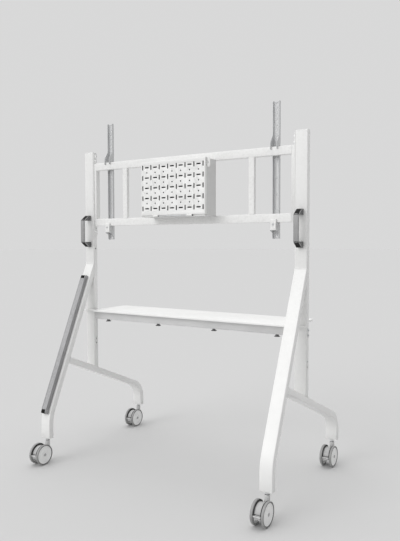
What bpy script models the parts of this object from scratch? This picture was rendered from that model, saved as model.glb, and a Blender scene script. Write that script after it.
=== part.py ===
"""TV cart on four twin-wheel casters.

Two welded side frames of 60 x 30 mm tube carry a ladder of two rails, a shelf,
a device box, two sliding hook arms, two handles and a cable cover.

All dimensions below are millimetres in the cart's own axes: X across (left is
-X), Y from front (-) to rear (+) with 0 at the uprights' rear faces, Z up from
the floor. FRAME_Y then moves the whole cart so that the origin is the middle of
its footprint. Lengths go to Blender in metres.
"""

import math

import bmesh
import bpy
from mathutils import Vector

# ------------------------------------------------------------ dimensions, mm
MM = 0.001
FRAME_Y = 5.5
GAP = 0.3  # between pieces that touch

# side frames
SIDE_X = 635.0  # middle of each side frame
TUBE_W = 60.0
TUBE_D = 30.0
WALL = 2.0
TOP_Z = 1645.0
CAP_T = 3.0
LEG_SLOPE = 0.4453  # rear leg: y lost per mm of height
LEG_Y0 = 440.6  # rear leg's centre line at z = 0, before its bend
LEG_FOOT_Y = 335.0
LEG_BEND_R = 220.0
FOOT_SLOPE = 0.427  # front foot: rise per mm towards the rear
FOOT_Z = 419.7  # its centre line at the upright's front face
FOOT_END_Y = -430.0
FOOT_BEND_R = 113.0
FOOT_BOTTOM_Z = 126.0
PLATE_T = 4.0  # threaded plate in each leg's end

# ladder
RAIL_FRONT_Y = -35.0
RAIL_BACK_Y = -5.0
RAIL_H = 40.0
TOP_RAIL_Z = 1542.0
LOW_RAIL_Z = 1235.0
POST_X = 584.7
POST_W = 16.7
STRUT_X = 382.0
STRUT_W = 30.0
FIX_PLATE_T = 3.0
LADDER_BOLTS_Z = (1622.0, 1596.0, 1205.0)
SPARE_HOLE_Z = (1109.0, 602.0, 577.0)

# shelf
SHELF_Z = 757.0
SHELF_T = 10.0
SHELF_FRONT_Y = -262.0
SHELF_REAR_Y = 22.0
SHELF_X = 600.0
SHELF_REAR_X = 663.0
BEAM_H = 40.0
SHELF_BOLTS_Z = (747.0, 724.0)
KNOB_X = (-514.0, -171.0, 171.0, 514.0)

# hook arms
ARM_X = 500.0
ARM_W = 35.0
ARM_BOTTOM_Z = 1160.0
ARM_TOP_Z = 1793.0
ARM_SHEET = 2.5
ARM_WEB = 3.0
ARM_HOLE_Z0 = 1780.0
ARM_HOLE_PITCH = 25.4
ARM_SLOTS = ((1447.0, 1514.0), (1371.0, 1439.0), (1297.0, 1363.0))

# device box
BOX_X = 189.2
BOX_Z = (1270.0, 1546.0)
BOX_REAR_Y = 93.0
BOX_SHEET = 1.5
DOOR_X = 191.0
DOOR_Z = (1279.0, 1548.0)
DOOR_REAR_Y = 98.5
DOOR_RETURN = 12.0
HINGE_YZ = (99.0, 1275.0)
HINGE_X = 101.0
SLOT_PITCH = 51.3
SLOT_L = 25.0
SLOT_W = 5.2
SLOT_TOP_Z = 1518.3

# handles
HANDLE_Z = (1119.0, 1293.0)
GRIP_Z = (1147.0, 1265.0)
HANDLE_W = 25.0
HANDLE_D = 59.0
GRIP_T = 11.0

# cable cover, measured along the leg
COVER_W = 34.0
COVER_D = 25.0
COVER_TOP_Z = 955.0
COVER_L = 770.0
COVER_END_L = 20.0

# casters
CASTER_FRONT_Y = -430.0
CASTER_REAR_Y = 335.0
TRAIL = 47.0
WHEEL_R = 52.0
WHEEL_SIDES = 24
WHEEL_X = (18.0, 30.6)
AXLE_END = 31.2
BODY_HALF = 17.2
HOOD_R = 43.0
PEDAL_HALF = 16.4
ARCH_HALF = 12.8
FLANGE_R = 51.2
COLLAR_R = 12.4
COLLAR_TOP_Z = 112.0
BOSS_R = 9.6
PEDAL_PIVOT = (69.0, 46.0)


# ------------------------------------------------------------ small helpers
def fillet(points, radii, steps):
    """The open or closed 2D outline with the given corners rounded; radius 0 keeps a corner."""
    out = []
    n = len(points)
    for i, (point, radius) in enumerate(zip(points, radii)):
        if radius <= 0:
            out.append(point)
            continue
        here = Vector(point)
        before = (Vector(points[i - 1]) - here).normalized()
        after = (Vector(points[(i + 1) % n]) - here).normalized()
        half = before.angle(after) / 2
        reach = radius / math.tan(half)
        middle = here + (before + after).normalized() * (radius / math.sin(half))
        start = here + before * reach - middle
        turn = math.pi - 2 * half
        side = 1 if start.y * before.x - start.x * before.y > 0 else -1
        for k in range(steps + 1):
            a = side * turn * k / steps
            out.append(
                (
                    middle.x + start.x * math.cos(a) - start.y * math.sin(a),
                    middle.y + start.x * math.sin(a) + start.y * math.cos(a),
                )
            )
    return out


def circle(cu, cv, radius, sides, phase=0.5):
    return [
        (
            cu + radius * math.cos(2 * math.pi * (k + phase) / sides),
            cv + radius * math.sin(2 * math.pi * (k + phase) / sides),
        )
        for k in range(sides)
    ]


def arc(cu, cv, radius, start, end, steps):
    """Points on an arc, angles in degrees."""
    return [
        (
            cu + radius * math.cos(math.radians(start + (end - start) * k / steps)),
            cv + radius * math.sin(math.radians(start + (end - start) * k / steps)),
        )
        for k in range(steps + 1)
    ]


def prism(outline, length, origin, u, v, w):
    origin, u, v, w = Vector(origin), Vector(u), Vector(v), Vector(w)
    n = len(outline)
    verts = [origin + u * a + v * b for a, b in outline]
    verts += [p + w * length for p in verts]
    faces = [tuple(range(n)), tuple(range(n, 2 * n))]
    faces += [(i, (i + 1) % n, n + (i + 1) % n, n + i) for i in range(n)]
    return verts, faces


def along_x(outline_yz, x0, x1):
    return prism(outline_yz, x1 - x0, (x0, 0, 0), (0, 1, 0), (0, 0, 1), (1, 0, 0))


def along_y(outline_xz, y0, y1):
    return prism(outline_xz, y1 - y0, (0, y0, 0), (1, 0, 0), (0, 0, 1), (0, 1, 0))


def along_z(outline_xy, z0, z1):
    return prism(outline_xy, z1 - z0, (0, 0, z0), (1, 0, 0), (0, 1, 0), (0, 0, 1))


def block(x0, x1, y0, y1, z0, z1):
    return along_z([(x0, y0), (x1, y0), (x1, y1), (x0, y1)], z0, z1)


def turned(profile, centre, axis, sides, phase=0.5):
    """A closed (radius, distance along the axis) outline turned about a line through centre."""
    centre = Vector(centre)
    if axis == "X":
        w, u, v = Vector((1, 0, 0)), Vector((0, 1, 0)), Vector((0, 0, 1))
    elif axis == "Y":
        w, u, v = Vector((0, 1, 0)), Vector((1, 0, 0)), Vector((0, 0, 1))
    else:
        w, u, v = Vector((0, 0, 1)), Vector((1, 0, 0)), Vector((0, 1, 0))
    verts, rings = [], []
    for radius, along in profile:
        if radius < 1e-6:
            rings.append([len(verts)] * sides)
            verts.append(centre + w * along)
            continue
        rings.append(list(range(len(verts), len(verts) + sides)))
        verts += [
            centre + w * along + u * a + v * b
            for a, b in circle(0, 0, radius, sides, phase)
        ]
    faces = []
    for ring, following in zip(rings, rings[1:] + rings[:1]):
        for i in range(sides):
            j = (i + 1) % sides
            corners = []
            for index in (ring[i], ring[j], following[j], following[i]):
                if index not in corners:
                    corners.append(index)
            if len(corners) > 2:
                faces.append(tuple(corners))
    return verts, faces


def rod(radius, start, end, centre, axis, sides=8):
    return turned(
        [(0, start), (radius, start), (radius, end), (0, end)], centre, axis, sides
    )


def cross(line_point, line_dir, plane_point, plane_normal):
    """Where a 2D line meets a 2D cutting line."""
    t = (plane_point - line_point).dot(plane_normal) / line_dir.dot(plane_normal)
    return line_point + line_dir * t


def bent_tube(path, x_mid, first_cut, last_cut, end_plate):
    """A hollow rectangular tube along a path in the YZ plane.

    first_cut and last_cut are (point, normal) of the planes that end it. The
    first end is open, and the last is closed by a plate end_plate thick.
    """
    points = [Vector(p) for p in path]
    dirs = [(b - a).normalized() for a, b in zip(points, points[1:])]
    cuts = [(Vector(first_cut[0]), Vector(first_cut[1]).normalized())]
    for i in range(1, len(points) - 1):
        cuts.append((points[i], (dirs[i - 1] + dirs[i]).normalized()))
    cuts.append((Vector(last_cut[0]), Vector(last_cut[1]).normalized()))
    verts, faces = [], []

    def loop(half_w, half_d, station, back=0.0):
        first = len(verts)
        segment = min(station, len(dirs) - 1)
        d = dirs[segment]
        n = Vector((-d.y, d.x))
        place, normal = cuts[station]
        for sx, sd in ((-1, 1), (1, 1), (1, -1), (-1, -1)):
            hit = cross(points[segment] + n * (sd * half_d), d, place - d * back, normal)
            verts.append(Vector((x_mid + sx * half_w, hit.x, hit.y)))
        return list(range(first, first + 4))

    last = len(points) - 1
    outer = [loop(TUBE_W / 2, TUBE_D / 2, k) for k in range(last + 1)]
    inner = [
        loop(
            TUBE_W / 2 - WALL,
            TUBE_D / 2 - WALL,
            k,
            end_plate if k == last else 0.0,
        )
        for k in range(last + 1)
    ]
    for rings in (outer, inner):
        for a, b in zip(rings, rings[1:]):
            faces += [(a[i], a[(i + 1) % 4], b[(i + 1) % 4], b[i]) for i in range(4)]
    faces += [
        (outer[0][i], outer[0][(i + 1) % 4], inner[0][(i + 1) % 4], inner[0][i])
        for i in range(4)
    ]
    if end_plate:
        faces += [tuple(outer[-1]), tuple(inner[-1])]
    else:
        faces += [
            (outer[-1][i], outer[-1][(i + 1) % 4], inner[-1][(i + 1) % 4], inner[-1][i])
            for i in range(4)
        ]
    return verts, faces


def join(shapes):
    verts, faces = [], []
    for v, f in shapes:
        faces += [tuple(i + len(verts) for i in face) for face in f]
        verts += v
    return verts, faces


def world(point):
    return Vector((point[0], point[1] + FRAME_Y, point[2])) * MM


def mesh_of(name, shape, origin):
    verts, faces = shape
    base = world(origin)
    mesh = bpy.data.meshes.new(name)
    mesh.from_pydata([world(v) - base for v in verts], [], faces)
    work = bmesh.new()
    work.from_mesh(mesh)
    bmesh.ops.recalc_face_normals(work, faces=work.faces)
    work.to_mesh(mesh)
    work.free()
    mesh.update()
    return mesh


def put(name, shape, material, origin=(0, 0, 0), parent=None, smooth=False):
    """One named piece, with its origin at the given point."""
    mesh = mesh_of(name, shape, origin)
    mesh.materials.append(material)
    if smooth:
        mesh.shade_smooth()
        mesh.set_sharp_from_angle(angle=math.radians(30))
    piece = bpy.data.objects.new(name, mesh)
    bpy.context.scene.collection.objects.link(piece)
    place = world(origin)
    if parent is None:
        piece.location = place
    else:
        piece.parent = parent
        piece.location = place - parent.location
    return piece


def helper(name, shapes):
    tool = bpy.data.objects.new(name, mesh_of(name, join(shapes), (0, 0, 0)))
    bpy.context.scene.collection.objects.link(tool)
    tool.location = world((0, 0, 0))
    tool.hide_render = True
    tool.display_type = "WIRE"
    return tool


def boolean(piece, operation, shapes):
    label = operation.lower() + "_" + str(len(piece.modifiers))
    modifier = piece.modifiers.new(label, "BOOLEAN")
    modifier.operation = operation
    modifier.solver = "EXACT"
    modifier.object = helper(piece.name + "_" + label, shapes)


def cut(piece, shapes):
    boolean(piece, "DIFFERENCE", shapes)


def add(piece, shapes):
    boolean(piece, "UNION", shapes)


def group(name, point):
    empty = bpy.data.objects.new(name, None)
    empty.empty_display_size = 0.05
    bpy.context.scene.collection.objects.link(empty)
    empty.location = world(point)
    return empty


def finish(name, colour, roughness, metallic=0.0):
    material = bpy.data.materials.new(name)
    material.use_nodes = True
    shader = material.node_tree.nodes["Principled BSDF"]
    shader.inputs["Base Color"].default_value = (*colour, 1.0)
    shader.inputs["Roughness"].default_value = roughness
    shader.inputs["Metallic"].default_value = metallic
    return material


# ------------------------------------------------------------ start clean
for old in list(bpy.data.objects):
    bpy.data.objects.remove(old, do_unlink=True)

WHITE = finish("white_powder_coat", (0.80, 0.80, 0.79), 0.42)
ZINC = finish("zinc_sheet", (0.52, 0.53, 0.54), 0.38, 0.8)
ALU = finish("grey_anodised", (0.40, 0.41, 0.42), 0.4, 0.6)
DARK = finish("dark_grey_plastic", (0.10, 0.10, 0.105), 0.5)
BLACK = finish("black_plastic", (0.02, 0.02, 0.02), 0.45)
LIGHT = finish("light_grey_plastic", (0.36, 0.36, 0.36), 0.45)
STEEL = finish("plain_steel", (0.5, 0.5, 0.5), 0.35, 1.0)
TYRE = finish("grey_tyre", (0.22, 0.22, 0.22), 0.6)

SIDES = (("left", -1), ("right", 1))

# ------------------------------------------------------------ side frames
leg_angle = math.atan(LEG_SLOPE)
leg_down = Vector((math.sin(leg_angle), -math.cos(leg_angle)))
leg_rear = Vector((math.cos(leg_angle), math.sin(leg_angle)))
leg_corner_z = (LEG_Y0 - LEG_FOOT_Y) / LEG_SLOPE
foot_angle = math.atan(FOOT_SLOPE)
foot_up = Vector((-math.sin(foot_angle), math.cos(foot_angle)))
foot_corner_z = FOOT_Z + FOOT_SLOPE * (FOOT_END_Y + TUBE_D)


def leg_centre_y(z):
    return LEG_Y0 - LEG_SLOPE * z


def foot_centre_z(y):
    return FOOT_Z + FOOT_SLOPE * (y + TUBE_D)


leg_path = fillet(
    [
        (leg_centre_y(1000), 1000),
        (LEG_FOOT_Y, leg_corner_z),
        (LEG_FOOT_Y, FOOT_BOTTOM_Z),
    ],
    [0, LEG_BEND_R, 0],
    4,
)
foot_path = fillet(
    [
        (190, foot_centre_z(190)),
        (FOOT_END_Y, foot_corner_z),
        (FOOT_END_Y, FOOT_BOTTOM_Z),
    ],
    [0, FOOT_BEND_R, 0],
    9,
)
leg_front_point = Vector((leg_centre_y(520), 520)) - leg_rear * (TUBE_D / 2 + GAP)
foot_top_point = Vector((-15, foot_centre_z(-15))) + foot_up * (TUBE_D / 2 + GAP)

for side, sign in SIDES:
    x = sign * SIDE_X
    base = group("side_frame_" + side, (x, 0, 0))
    upright = put(
        "upright_" + side,
        bent_tube(
            [(-15, 420), (-15, TOP_Z - CAP_T - GAP)],
            x,
            (foot_top_point, foot_up),
            ((-15, TOP_Z - CAP_T - GAP), (0, 1)),
            0,
        ),
        WHITE,
        (x, -15, 1000),
        base,
    )
    cut(
        upright,
        [
            rod(4.6, x - 40, x + 40, (0, -15, z), "X")
            for z in SHELF_BOLTS_Z + SPARE_HOLE_Z[1:]
        ],
    )
    # the ladder's holes are in the inner wall only
    cut(
        upright,
        [
            rod(4.6, *sorted((x, x - sign * 40)), (0, -15, z), "X")
            for z in LADDER_BOLTS_Z + SPARE_HOLE_Z[:1]
        ],
    )
    cap = put(
        "upright_cap_" + side,
        block(x - 30, x + 30, -30, 0, TOP_Z - CAP_T, TOP_Z),
        WHITE,
        (x, -15, TOP_Z),
        base,
    )
    add(cap, [block(x - 27.6, x + 27.6, -27.6, -2.4, TOP_Z - 16, TOP_Z - 1)])
    leg = put(
        "rear_leg_" + side,
        bent_tube(
            leg_path,
            x,
            ((GAP, 1000), (1, 0)),
            ((LEG_FOOT_Y, FOOT_BOTTOM_Z), (0, 1)),
            PLATE_T,
        ),
        WHITE,
        (x, LEG_FOOT_Y, FOOT_BOTTOM_Z),
        base,
    )
    cut(leg, [rod(6.7, 120, 134, (x, CASTER_REAR_Y, 0), "Z", 12)])
    foot = put(
        "front_foot_" + side,
        bent_tube(
            foot_path,
            x,
            (leg_front_point, leg_rear),
            ((FOOT_END_Y, FOOT_BOTTOM_Z), (0, 1)),
            PLATE_T,
        ),
        WHITE,
        (x, FOOT_END_Y, FOOT_BOTTOM_Z),
        base,
    )
    cut(foot, [rod(6.7, 120, 134, (x, CASTER_FRONT_Y, 0), "Z", 12)])

# ------------------------------------------------------------ ladder
ladder = group("ladder", (0, -20, LOW_RAIL_Z))
rail_end = POST_X - GAP


def straight_tube(name, box, wall, axis, origin, parent, material=WHITE):
    """A hollow bar, open at both ends along the axis (0, 1 or 2)."""
    piece = put(name, block(*box), material, origin, parent)
    inside = list(box)
    for k in range(3):
        step = 5 if k == axis else -wall
        inside[2 * k] -= step
        inside[2 * k + 1] += step
    cut(piece, [block(*inside)])
    return piece


for name, z in (("top_rail", TOP_RAIL_Z), ("bottom_rail", LOW_RAIL_Z)):
    straight_tube(
        name,
        (-rail_end, rail_end, RAIL_FRONT_Y, RAIL_BACK_Y, z, z + RAIL_H),
        WALL,
        0,
        (0, -20, z),
        ladder,
    )
for side, sign in SIDES:
    inner, outer = sorted((sign * POST_X, sign * (POST_X + POST_W)))
    straight_tube(
        "end_post_" + side,
        (inner, outer, RAIL_FRONT_Y, RAIL_BACK_Y, LOW_RAIL_Z, TOP_RAIL_Z + RAIL_H),
        WALL,
        2,
        (sign * POST_X, -20, LOW_RAIL_Z),
        ladder,
    )
    straight_tube(
        "ladder_strut_" + side,
        (
            sign * STRUT_X - STRUT_W / 2,
            sign * STRUT_X + STRUT_W / 2,
            -25,
            RAIL_BACK_Y,
            LOW_RAIL_Z + RAIL_H + GAP,
            TOP_RAIL_Z - GAP,
        ),
        1.5,
        2,
        (sign * STRUT_X, -15, LOW_RAIL_Z + RAIL_H),
        ladder,
    )
    # plate between end post and upright, with its bolts made in one piece
    face = sign * (SIDE_X - TUBE_W / 2 - GAP)
    lo, hi = sorted((face, face - sign * FIX_PLATE_T))
    plate = put(
        "ladder_fixing_" + side,
        block(lo, hi, -29, -1, 1184, 1639),
        WHITE,
        (face, -15, 1400),
        ladder,
    )
    bolts = []
    for z in LADDER_BOLTS_Z:
        head = [
            (0, 0.5 * sign),
            (6.4, 0.5 * sign),
            (6.4, -9.5 * sign),
            (5.0, -11.5 * sign),
            (0, -11.5 * sign),
        ]
        shank = [
            (0, -1.5 * sign),
            (4.0, -1.5 * sign),
            (4.0, 14.0 * sign),
            (0, 14.0 * sign),
        ]
        bolts.append(((face - sign * 1.0, -15, z), head, shank))
    add(plate, [turned(head, c, "X", 10) for c, head, shank in bolts])
    add(plate, [turned(shank, c, "X", 8) for c, head, shank in bolts])

# ------------------------------------------------------------ shelf
shelf = group("shelf", (0, 0, SHELF_Z))
half = [
    (SHELF_X, SHELF_FRONT_Y),
    (SHELF_X, 1.0),
    (SHELF_REAR_X, 1.0),
    (SHELF_REAR_X, SHELF_REAR_Y),
]
half_radii = [28, 0, 0, 8]
plan = half + [(-a, b) for a, b in reversed(half)]
plan = fillet(plan, half_radii + half_radii[::-1], 5)
panel = put(
    "shelf_panel",
    along_z(plan, SHELF_Z, SHELF_Z + SHELF_T),
    WHITE,
    (0, 0, SHELF_Z),
    shelf,
)
cut(panel, [rod(4.4, SHELF_Z - 5, SHELF_Z + 7, (x, -15, 0), "Z") for x in KNOB_X])
beam_end = SIDE_X - TUBE_W / 2 - GAP
beam_z = SHELF_Z - GAP - BEAM_H
beam = put(
    "shelf_beam",
    block(-beam_end, beam_end, -30, 0, beam_z, SHELF_Z - GAP),
    WHITE,
    (0, -15, beam_z),
    shelf,
)
cut(
    beam,
    [
        block(
            4 - beam_end,
            beam_end - 4,
            WALL - 30,
            -WALL,
            beam_z + WALL,
            SHELF_Z - GAP - WALL,
        )
    ],
)
cut(
    beam,
    [rod(4.4, beam_z - 5, SHELF_Z + 5, (x, -15, 0), "Z") for x in KNOB_X]
    + [
        rod(4.4, s * (beam_end - 9), s * (beam_end + 5), (0, -15, z), "X")
        for s in (-1, 1)
        for z in SHELF_BOLTS_Z
    ],
)
for number, x in enumerate(KNOB_X, 1):
    top = beam_z - GAP
    put(
        "shelf_screw_" + str(number),
        turned(
            [
                (0, SHELF_Z + 5),
                (3.9, SHELF_Z + 5),
                (3.9, top),
                (15.0, top),
                (15.0, top - 4.0),
                (12.6, top - 8.6),
                (7.6, top - 11.4),
                (0, top - 12.0),
            ],
            (x, -15, 0),
            "Z",
            16,
        ),
        DARK,
        (x, -15, beam_z),
        shelf,
        True,
    )
for side, sign in SIDES:
    face = sign * (SIDE_X + TUBE_W / 2 + GAP)
    lo, hi = sorted((face, face + sign * 1.5))
    strip = put(
        "shelf_bolts_" + side,
        block(lo, hi, -23, -7, SHELF_BOLTS_Z[1] - 8, SHELF_BOLTS_Z[0] + 8),
        STEEL,
        (face, -15, SHELF_BOLTS_Z[0]),
        shelf,
    )
    add(
        strip,
        [
            turned(
                [
                    (0, 1.0 * sign),
                    (6.4, 1.0 * sign),
                    (6.4, 4.0 * sign),
                    (4.6, 5.6 * sign),
                    (0, 5.6 * sign),
                ],
                (face, -15, z),
                "X",
                10,
            )
            for z in SHELF_BOLTS_Z
        ],
    )
    add(
        strip,
        [
            turned(
                [
                    (0, 2.0 * sign),
                    (3.9, 2.0 * sign),
                    (3.9, -68.0 * sign),
                    (0, -68.0 * sign),
                ],
                (face, -15, z),
                "X",
                8,
            )
            for z in SHELF_BOLTS_Z
        ],
    )

# ------------------------------------------------------------ hook arms and locks
web_back = RAIL_FRONT_Y - GAP
web_front = web_back - ARM_WEB
flange_y = -23.0
rail_top = TOP_RAIL_Z + RAIL_H + 0.5
arm_outline = [
    (web_front, ARM_TOP_Z),
    (flange_y, ARM_TOP_Z),
    (flange_y, 1640),
    (4, 1600),
    (4, 1570),
    (RAIL_BACK_Y + 0.5, 1570),
    (RAIL_BACK_Y + 0.5, rail_top),
    (web_back, rail_top),
    (web_back, TOP_RAIL_Z - 0.5),
    (flange_y, TOP_RAIL_Z - 0.5),
    (flange_y, LOW_RAIL_Z + RAIL_H + 0.5),
    (web_back, LOW_RAIL_Z + RAIL_H + 0.5),
    (web_back, LOW_RAIL_Z - 0.5),
    (0, LOW_RAIL_Z - 0.5),
    (0, 1197),
    (flange_y, 1187),
    (flange_y, 1165),
    (-28, ARM_BOTTOM_Z),
    (web_front, ARM_BOTTOM_Z),
]
lock_outline = [
    (-30, 1199),
    (5.5, 1199),
    (5.5, 1250),
    (RAIL_BACK_Y + 0.5, 1250),
    (RAIL_BACK_Y + 0.5, LOW_RAIL_Z - 0.7),
    (-30, LOW_RAIL_Z - 0.7),
]
for side, sign in SIDES:
    x = sign * ARM_X
    slide = group("arm_slide_" + side, (x, -20, LOW_RAIL_Z))
    arm = put(
        "hook_arm_" + side,
        along_x(arm_outline, x - ARM_W / 2, x + ARM_W / 2),
        ZINC,
        (x, web_back, LOW_RAIL_Z),
        slide,
    )
    inside = ARM_W / 2 - ARM_SHEET
    cut(arm, [block(x - inside, x + inside, web_back, 20, 1100, 1900)])
    holes = [
        rod(4.2, web_front - 3, web_back + 3, (x, 0, ARM_HOLE_Z0 - ARM_HOLE_PITCH * i), "Y")
        for i in range(7)
    ]
    holes.append(rod(4.2, web_front - 3, web_back + 3, (x, 0, 1170.6), "Y"))
    holes += [
        block(x - 3.2, x + 3.2, web_front - 3, web_back + 3, z0, z1)
        for z0, z1 in ARM_SLOTS
    ]
    cut(arm, holes)
    lock = put(
        "arm_lock_" + side,
        along_x(lock_outline, x - 13.5, x + 13.5),
        WHITE,
        (x, 0, LOW_RAIL_Z),
        slide,
    )
    cut(lock, [block(x - 11.5, x + 11.5, -40, 2.5, 1201, 1248)])
    cut(lock, [rod(3.4, -2, 10, (x, 0, 1226), "Y")])
    put(
        "arm_lock_screw_" + side,
        turned(
            [
                (0, -12),
                (3.0, -12),
                (3.0, 5.8),
                (5.6, 5.8),
                (5.6, 7.2),
                (4.0, 8.8),
                (0, 8.8),
            ],
            (x, 0, 1226),
            "Y",
            12,
        ),
        STEEL,
        (x, 5.8, 1226),
        slide,
        True,
    )

# ------------------------------------------------------------ device box
box = group("device_box", (0, 0, BOX_Z[0]))
box_front = RAIL_BACK_Y + GAP
body = put(
    "box_body",
    block(-BOX_X, BOX_X, box_front, BOX_REAR_Y, *BOX_Z),
    WHITE,
    (0, box_front, BOX_Z[0]),
    box,
)
cut(
    body,
    [
        block(
            BOX_SHEET - BOX_X,
            BOX_X - BOX_SHEET,
            box_front + BOX_SHEET,
            BOX_REAR_Y + 5,
            BOX_Z[0] + BOX_SHEET,
            BOX_Z[1] - BOX_SHEET,
        )
    ],
)
lug = fillet(
    [(-209, 1501), (-188, 1501), (-188, 1552), (-209, 1552)], [9, 0, 0, 9], 4
)
ear = (
    [(90.5, BOX_Z[0] + 0.7)]
    + arc(*HINGE_YZ, 3.6, -90, 90, 6)
    + [(90.5, HINGE_YZ[1] + 3.2)]
)
ear_spans = []
for sign in (-1, 1):
    for offset in (-15.2, 15.2):
        middle = sign * HINGE_X + offset
        ear_spans.append((middle - 1.5, middle + 1.5))
add(body, [along_y(lug, 81, 83)] + [along_x(ear, a, b) for a, b in ear_spans])
cut(
    body,
    [
        rod(3.6, 78, 86, (-199, 0, 1524), "Y"),
        rod(2.5, -125, 125, (0, *HINGE_YZ), "X"),
    ],
)
hinge = group("box_hinge", (0, *HINGE_YZ))
door = put(
    "box_door",
    block(
        -DOOR_X,
        DOOR_X,
        DOOR_REAR_Y - BOX_SHEET - DOOR_RETURN,
        DOOR_REAR_Y,
        *DOOR_Z,
    ),
    WHITE,
    (0, *HINGE_YZ),
    hinge,
)
cut(
    door,
    [
        block(
            BOX_SHEET - DOOR_X,
            DOOR_X - BOX_SHEET,
            50,
            DOOR_REAR_Y - BOX_SHEET,
            DOOR_Z[0] - 5,
            DOOR_Z[1] - BOX_SHEET,
        )
    ],
)
slots = []
for row in range(5):
    z = SLOT_TOP_Z - SLOT_PITCH * row
    for column in range(8):
        x = SLOT_PITCH * (column - 3.5)
        slots.append(
            block(x - SLOT_W / 2, x + SLOT_W / 2, 94, 101, z - SLOT_L / 2, z + SLOT_L / 2)
        )
    for column in range(7):
        x = SLOT_PITCH * (column - 3)
        slots.append(
            block(x - SLOT_L / 2, x + SLOT_L / 2, 94, 101, z - SLOT_W / 2, z + SLOT_W / 2)
        )
cut(door, slots)
knuckle = [
    (DOOR_REAR_Y - BOX_SHEET, 1285),
    (DOOR_REAR_Y, 1285),
    (DOOR_REAR_Y, DOOR_Z[0] + 1),
] + arc(*HINGE_YZ, 4.0, 40, -180, 8)
knuckle.append((DOOR_REAR_Y - BOX_SHEET - 0.6, DOOR_Z[0] + 1))
add(
    door,
    [
        along_x(knuckle, sign * HINGE_X - 13, sign * HINGE_X + 13)
        for sign in (-1, 1)
    ],
)
cut(door, [rod(2.5, -125, 125, (0, *HINGE_YZ), "X")])
put(
    "box_hinge_rod",
    turned(
        [
            (0, -120),
            (3.4, -120),
            (3.4, -118.3),
            (2.0, -118.3),
            (2.0, 118.3),
            (3.4, 118.3),
            (3.4, 120),
            (0, 120),
        ],
        (0, *HINGE_YZ),
        "X",
        10,
    ),
    BLACK,
    (0, *HINGE_YZ),
    box,
    True,
)

# ------------------------------------------------------------ handles
for side, sign in SIDES:
    x = sign * SIDE_X
    holder = group("handle_" + side, (x, 0, sum(HANDLE_Z) / 2))
    low, high = HANDLE_Z
    grip_low, grip_high = GRIP_Z
    bracket = [
        (GAP, low),
        (20, low),
        (HANDLE_D, grip_low - GAP),
        (GAP, grip_low - GAP),
    ]
    upper = [(a, low + high - b) for a, b in bracket]
    frame = put(
        "handle_frame_" + side,
        along_x(bracket, x - HANDLE_W / 2, x + HANDLE_W / 2),
        DARK,
        (x, 0, low),
        holder,
    )
    core_y = HANDLE_D - GRIP_T / 2
    add(
        frame,
        [block(x - 8, x + 8, core_y - 2.5, core_y + 2.5, grip_low - 6, grip_high + 6)],
    )
    add(frame, [along_x(upper, x - HANDLE_W / 2, x + HANDLE_W / 2)])
    grip = put(
        "handle_grip_" + side,
        block(
            x - HANDLE_W / 2,
            x + HANDLE_W / 2,
            HANDLE_D - GRIP_T,
            HANDLE_D,
            grip_low,
            grip_high,
        ),
        LIGHT,
        (x, core_y, grip_low),
        holder,
    )
    cut(
        grip,
        [
            block(
                x - 8.3,
                x + 8.3,
                core_y - 2.8,
                core_y + 2.8,
                grip_low - 5,
                grip_high + 5,
            )
        ],
    )

# ------------------------------------------------------------ cable cover
cover_top = Vector((leg_centre_y(COVER_TOP_Z), COVER_TOP_Z))
cover_top += leg_rear * (TUBE_D / 2)
# COVER_TOP_Z is taken on the leg's rear face
cover_top += leg_down * ((cover_top.y - COVER_TOP_Z) / math.cos(leg_angle))


def cover_piece(name, wall, start, end, material):
    half_w = COVER_W / 2
    outline = [
        (-half_w, GAP),
        (-half_w, COVER_D - 2.5),
        (2.5 - half_w, COVER_D),
        (half_w - 2.5, COVER_D),
        (half_w, COVER_D - 2.5),
        (half_w, GAP),
        (half_w - wall, GAP),
        (half_w - wall, COVER_D - wall),
        (wall - half_w, COVER_D - wall),
        (wall - half_w, GAP),
    ]
    place = cover_top + leg_down * start
    return put(
        name,
        prism(
            outline,
            end - start,
            (SIDE_X, place.x, place.y),
            (1, 0, 0),
            (0, leg_rear.x, leg_rear.y),
            (0, leg_down.x, leg_down.y),
        ),
        material,
        (SIDE_X, place.x, place.y),
    )


cover_piece("cable_cover_top_end", 5.0, 0, COVER_END_L, BLACK)
cover_piece(
    "cable_cover", 2.6, COVER_END_L + GAP, COVER_L - COVER_END_L - GAP, ALU
)
cover_piece("cable_cover_bottom_end", 5.0, COVER_L - COVER_END_L, COVER_L, BLACK)

# ------------------------------------------------------------ casters
wheel_tip = WHEEL_R / math.cos(math.pi / WHEEL_SIDES)
body_outline = (
    [
        (-6.0, 72.0),
        (-8.0, 66.0),
        (5.0, 50.0),
        (36.0, 38.5),
        (47.0, 36.0),
        (57.0, 38.5),
        (62.5, 46.0),
        (62.5, 58.0),
    ]
    + arc(TRAIL, WHEEL_R, HOOD_R, 12, 150, 11)
)
tab_outline = [
    (66.0, 50.5),
    (66.0, 54.0),
    (80.0, 56.0),
    (97.0, 55.0),
    (98.5, 53.0),
    (97.5, 50.9),
]
pedal_outline = (
    [(66.0, 40.0), (66.0, 51.5), (92.6, 51.5)]
    + arc(TRAIL, WHEEL_R, 46.0, -3, -25, 4)
    + arc(TRAIL, WHEEL_R, 42.4, -25, -13, 2)
)
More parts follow.
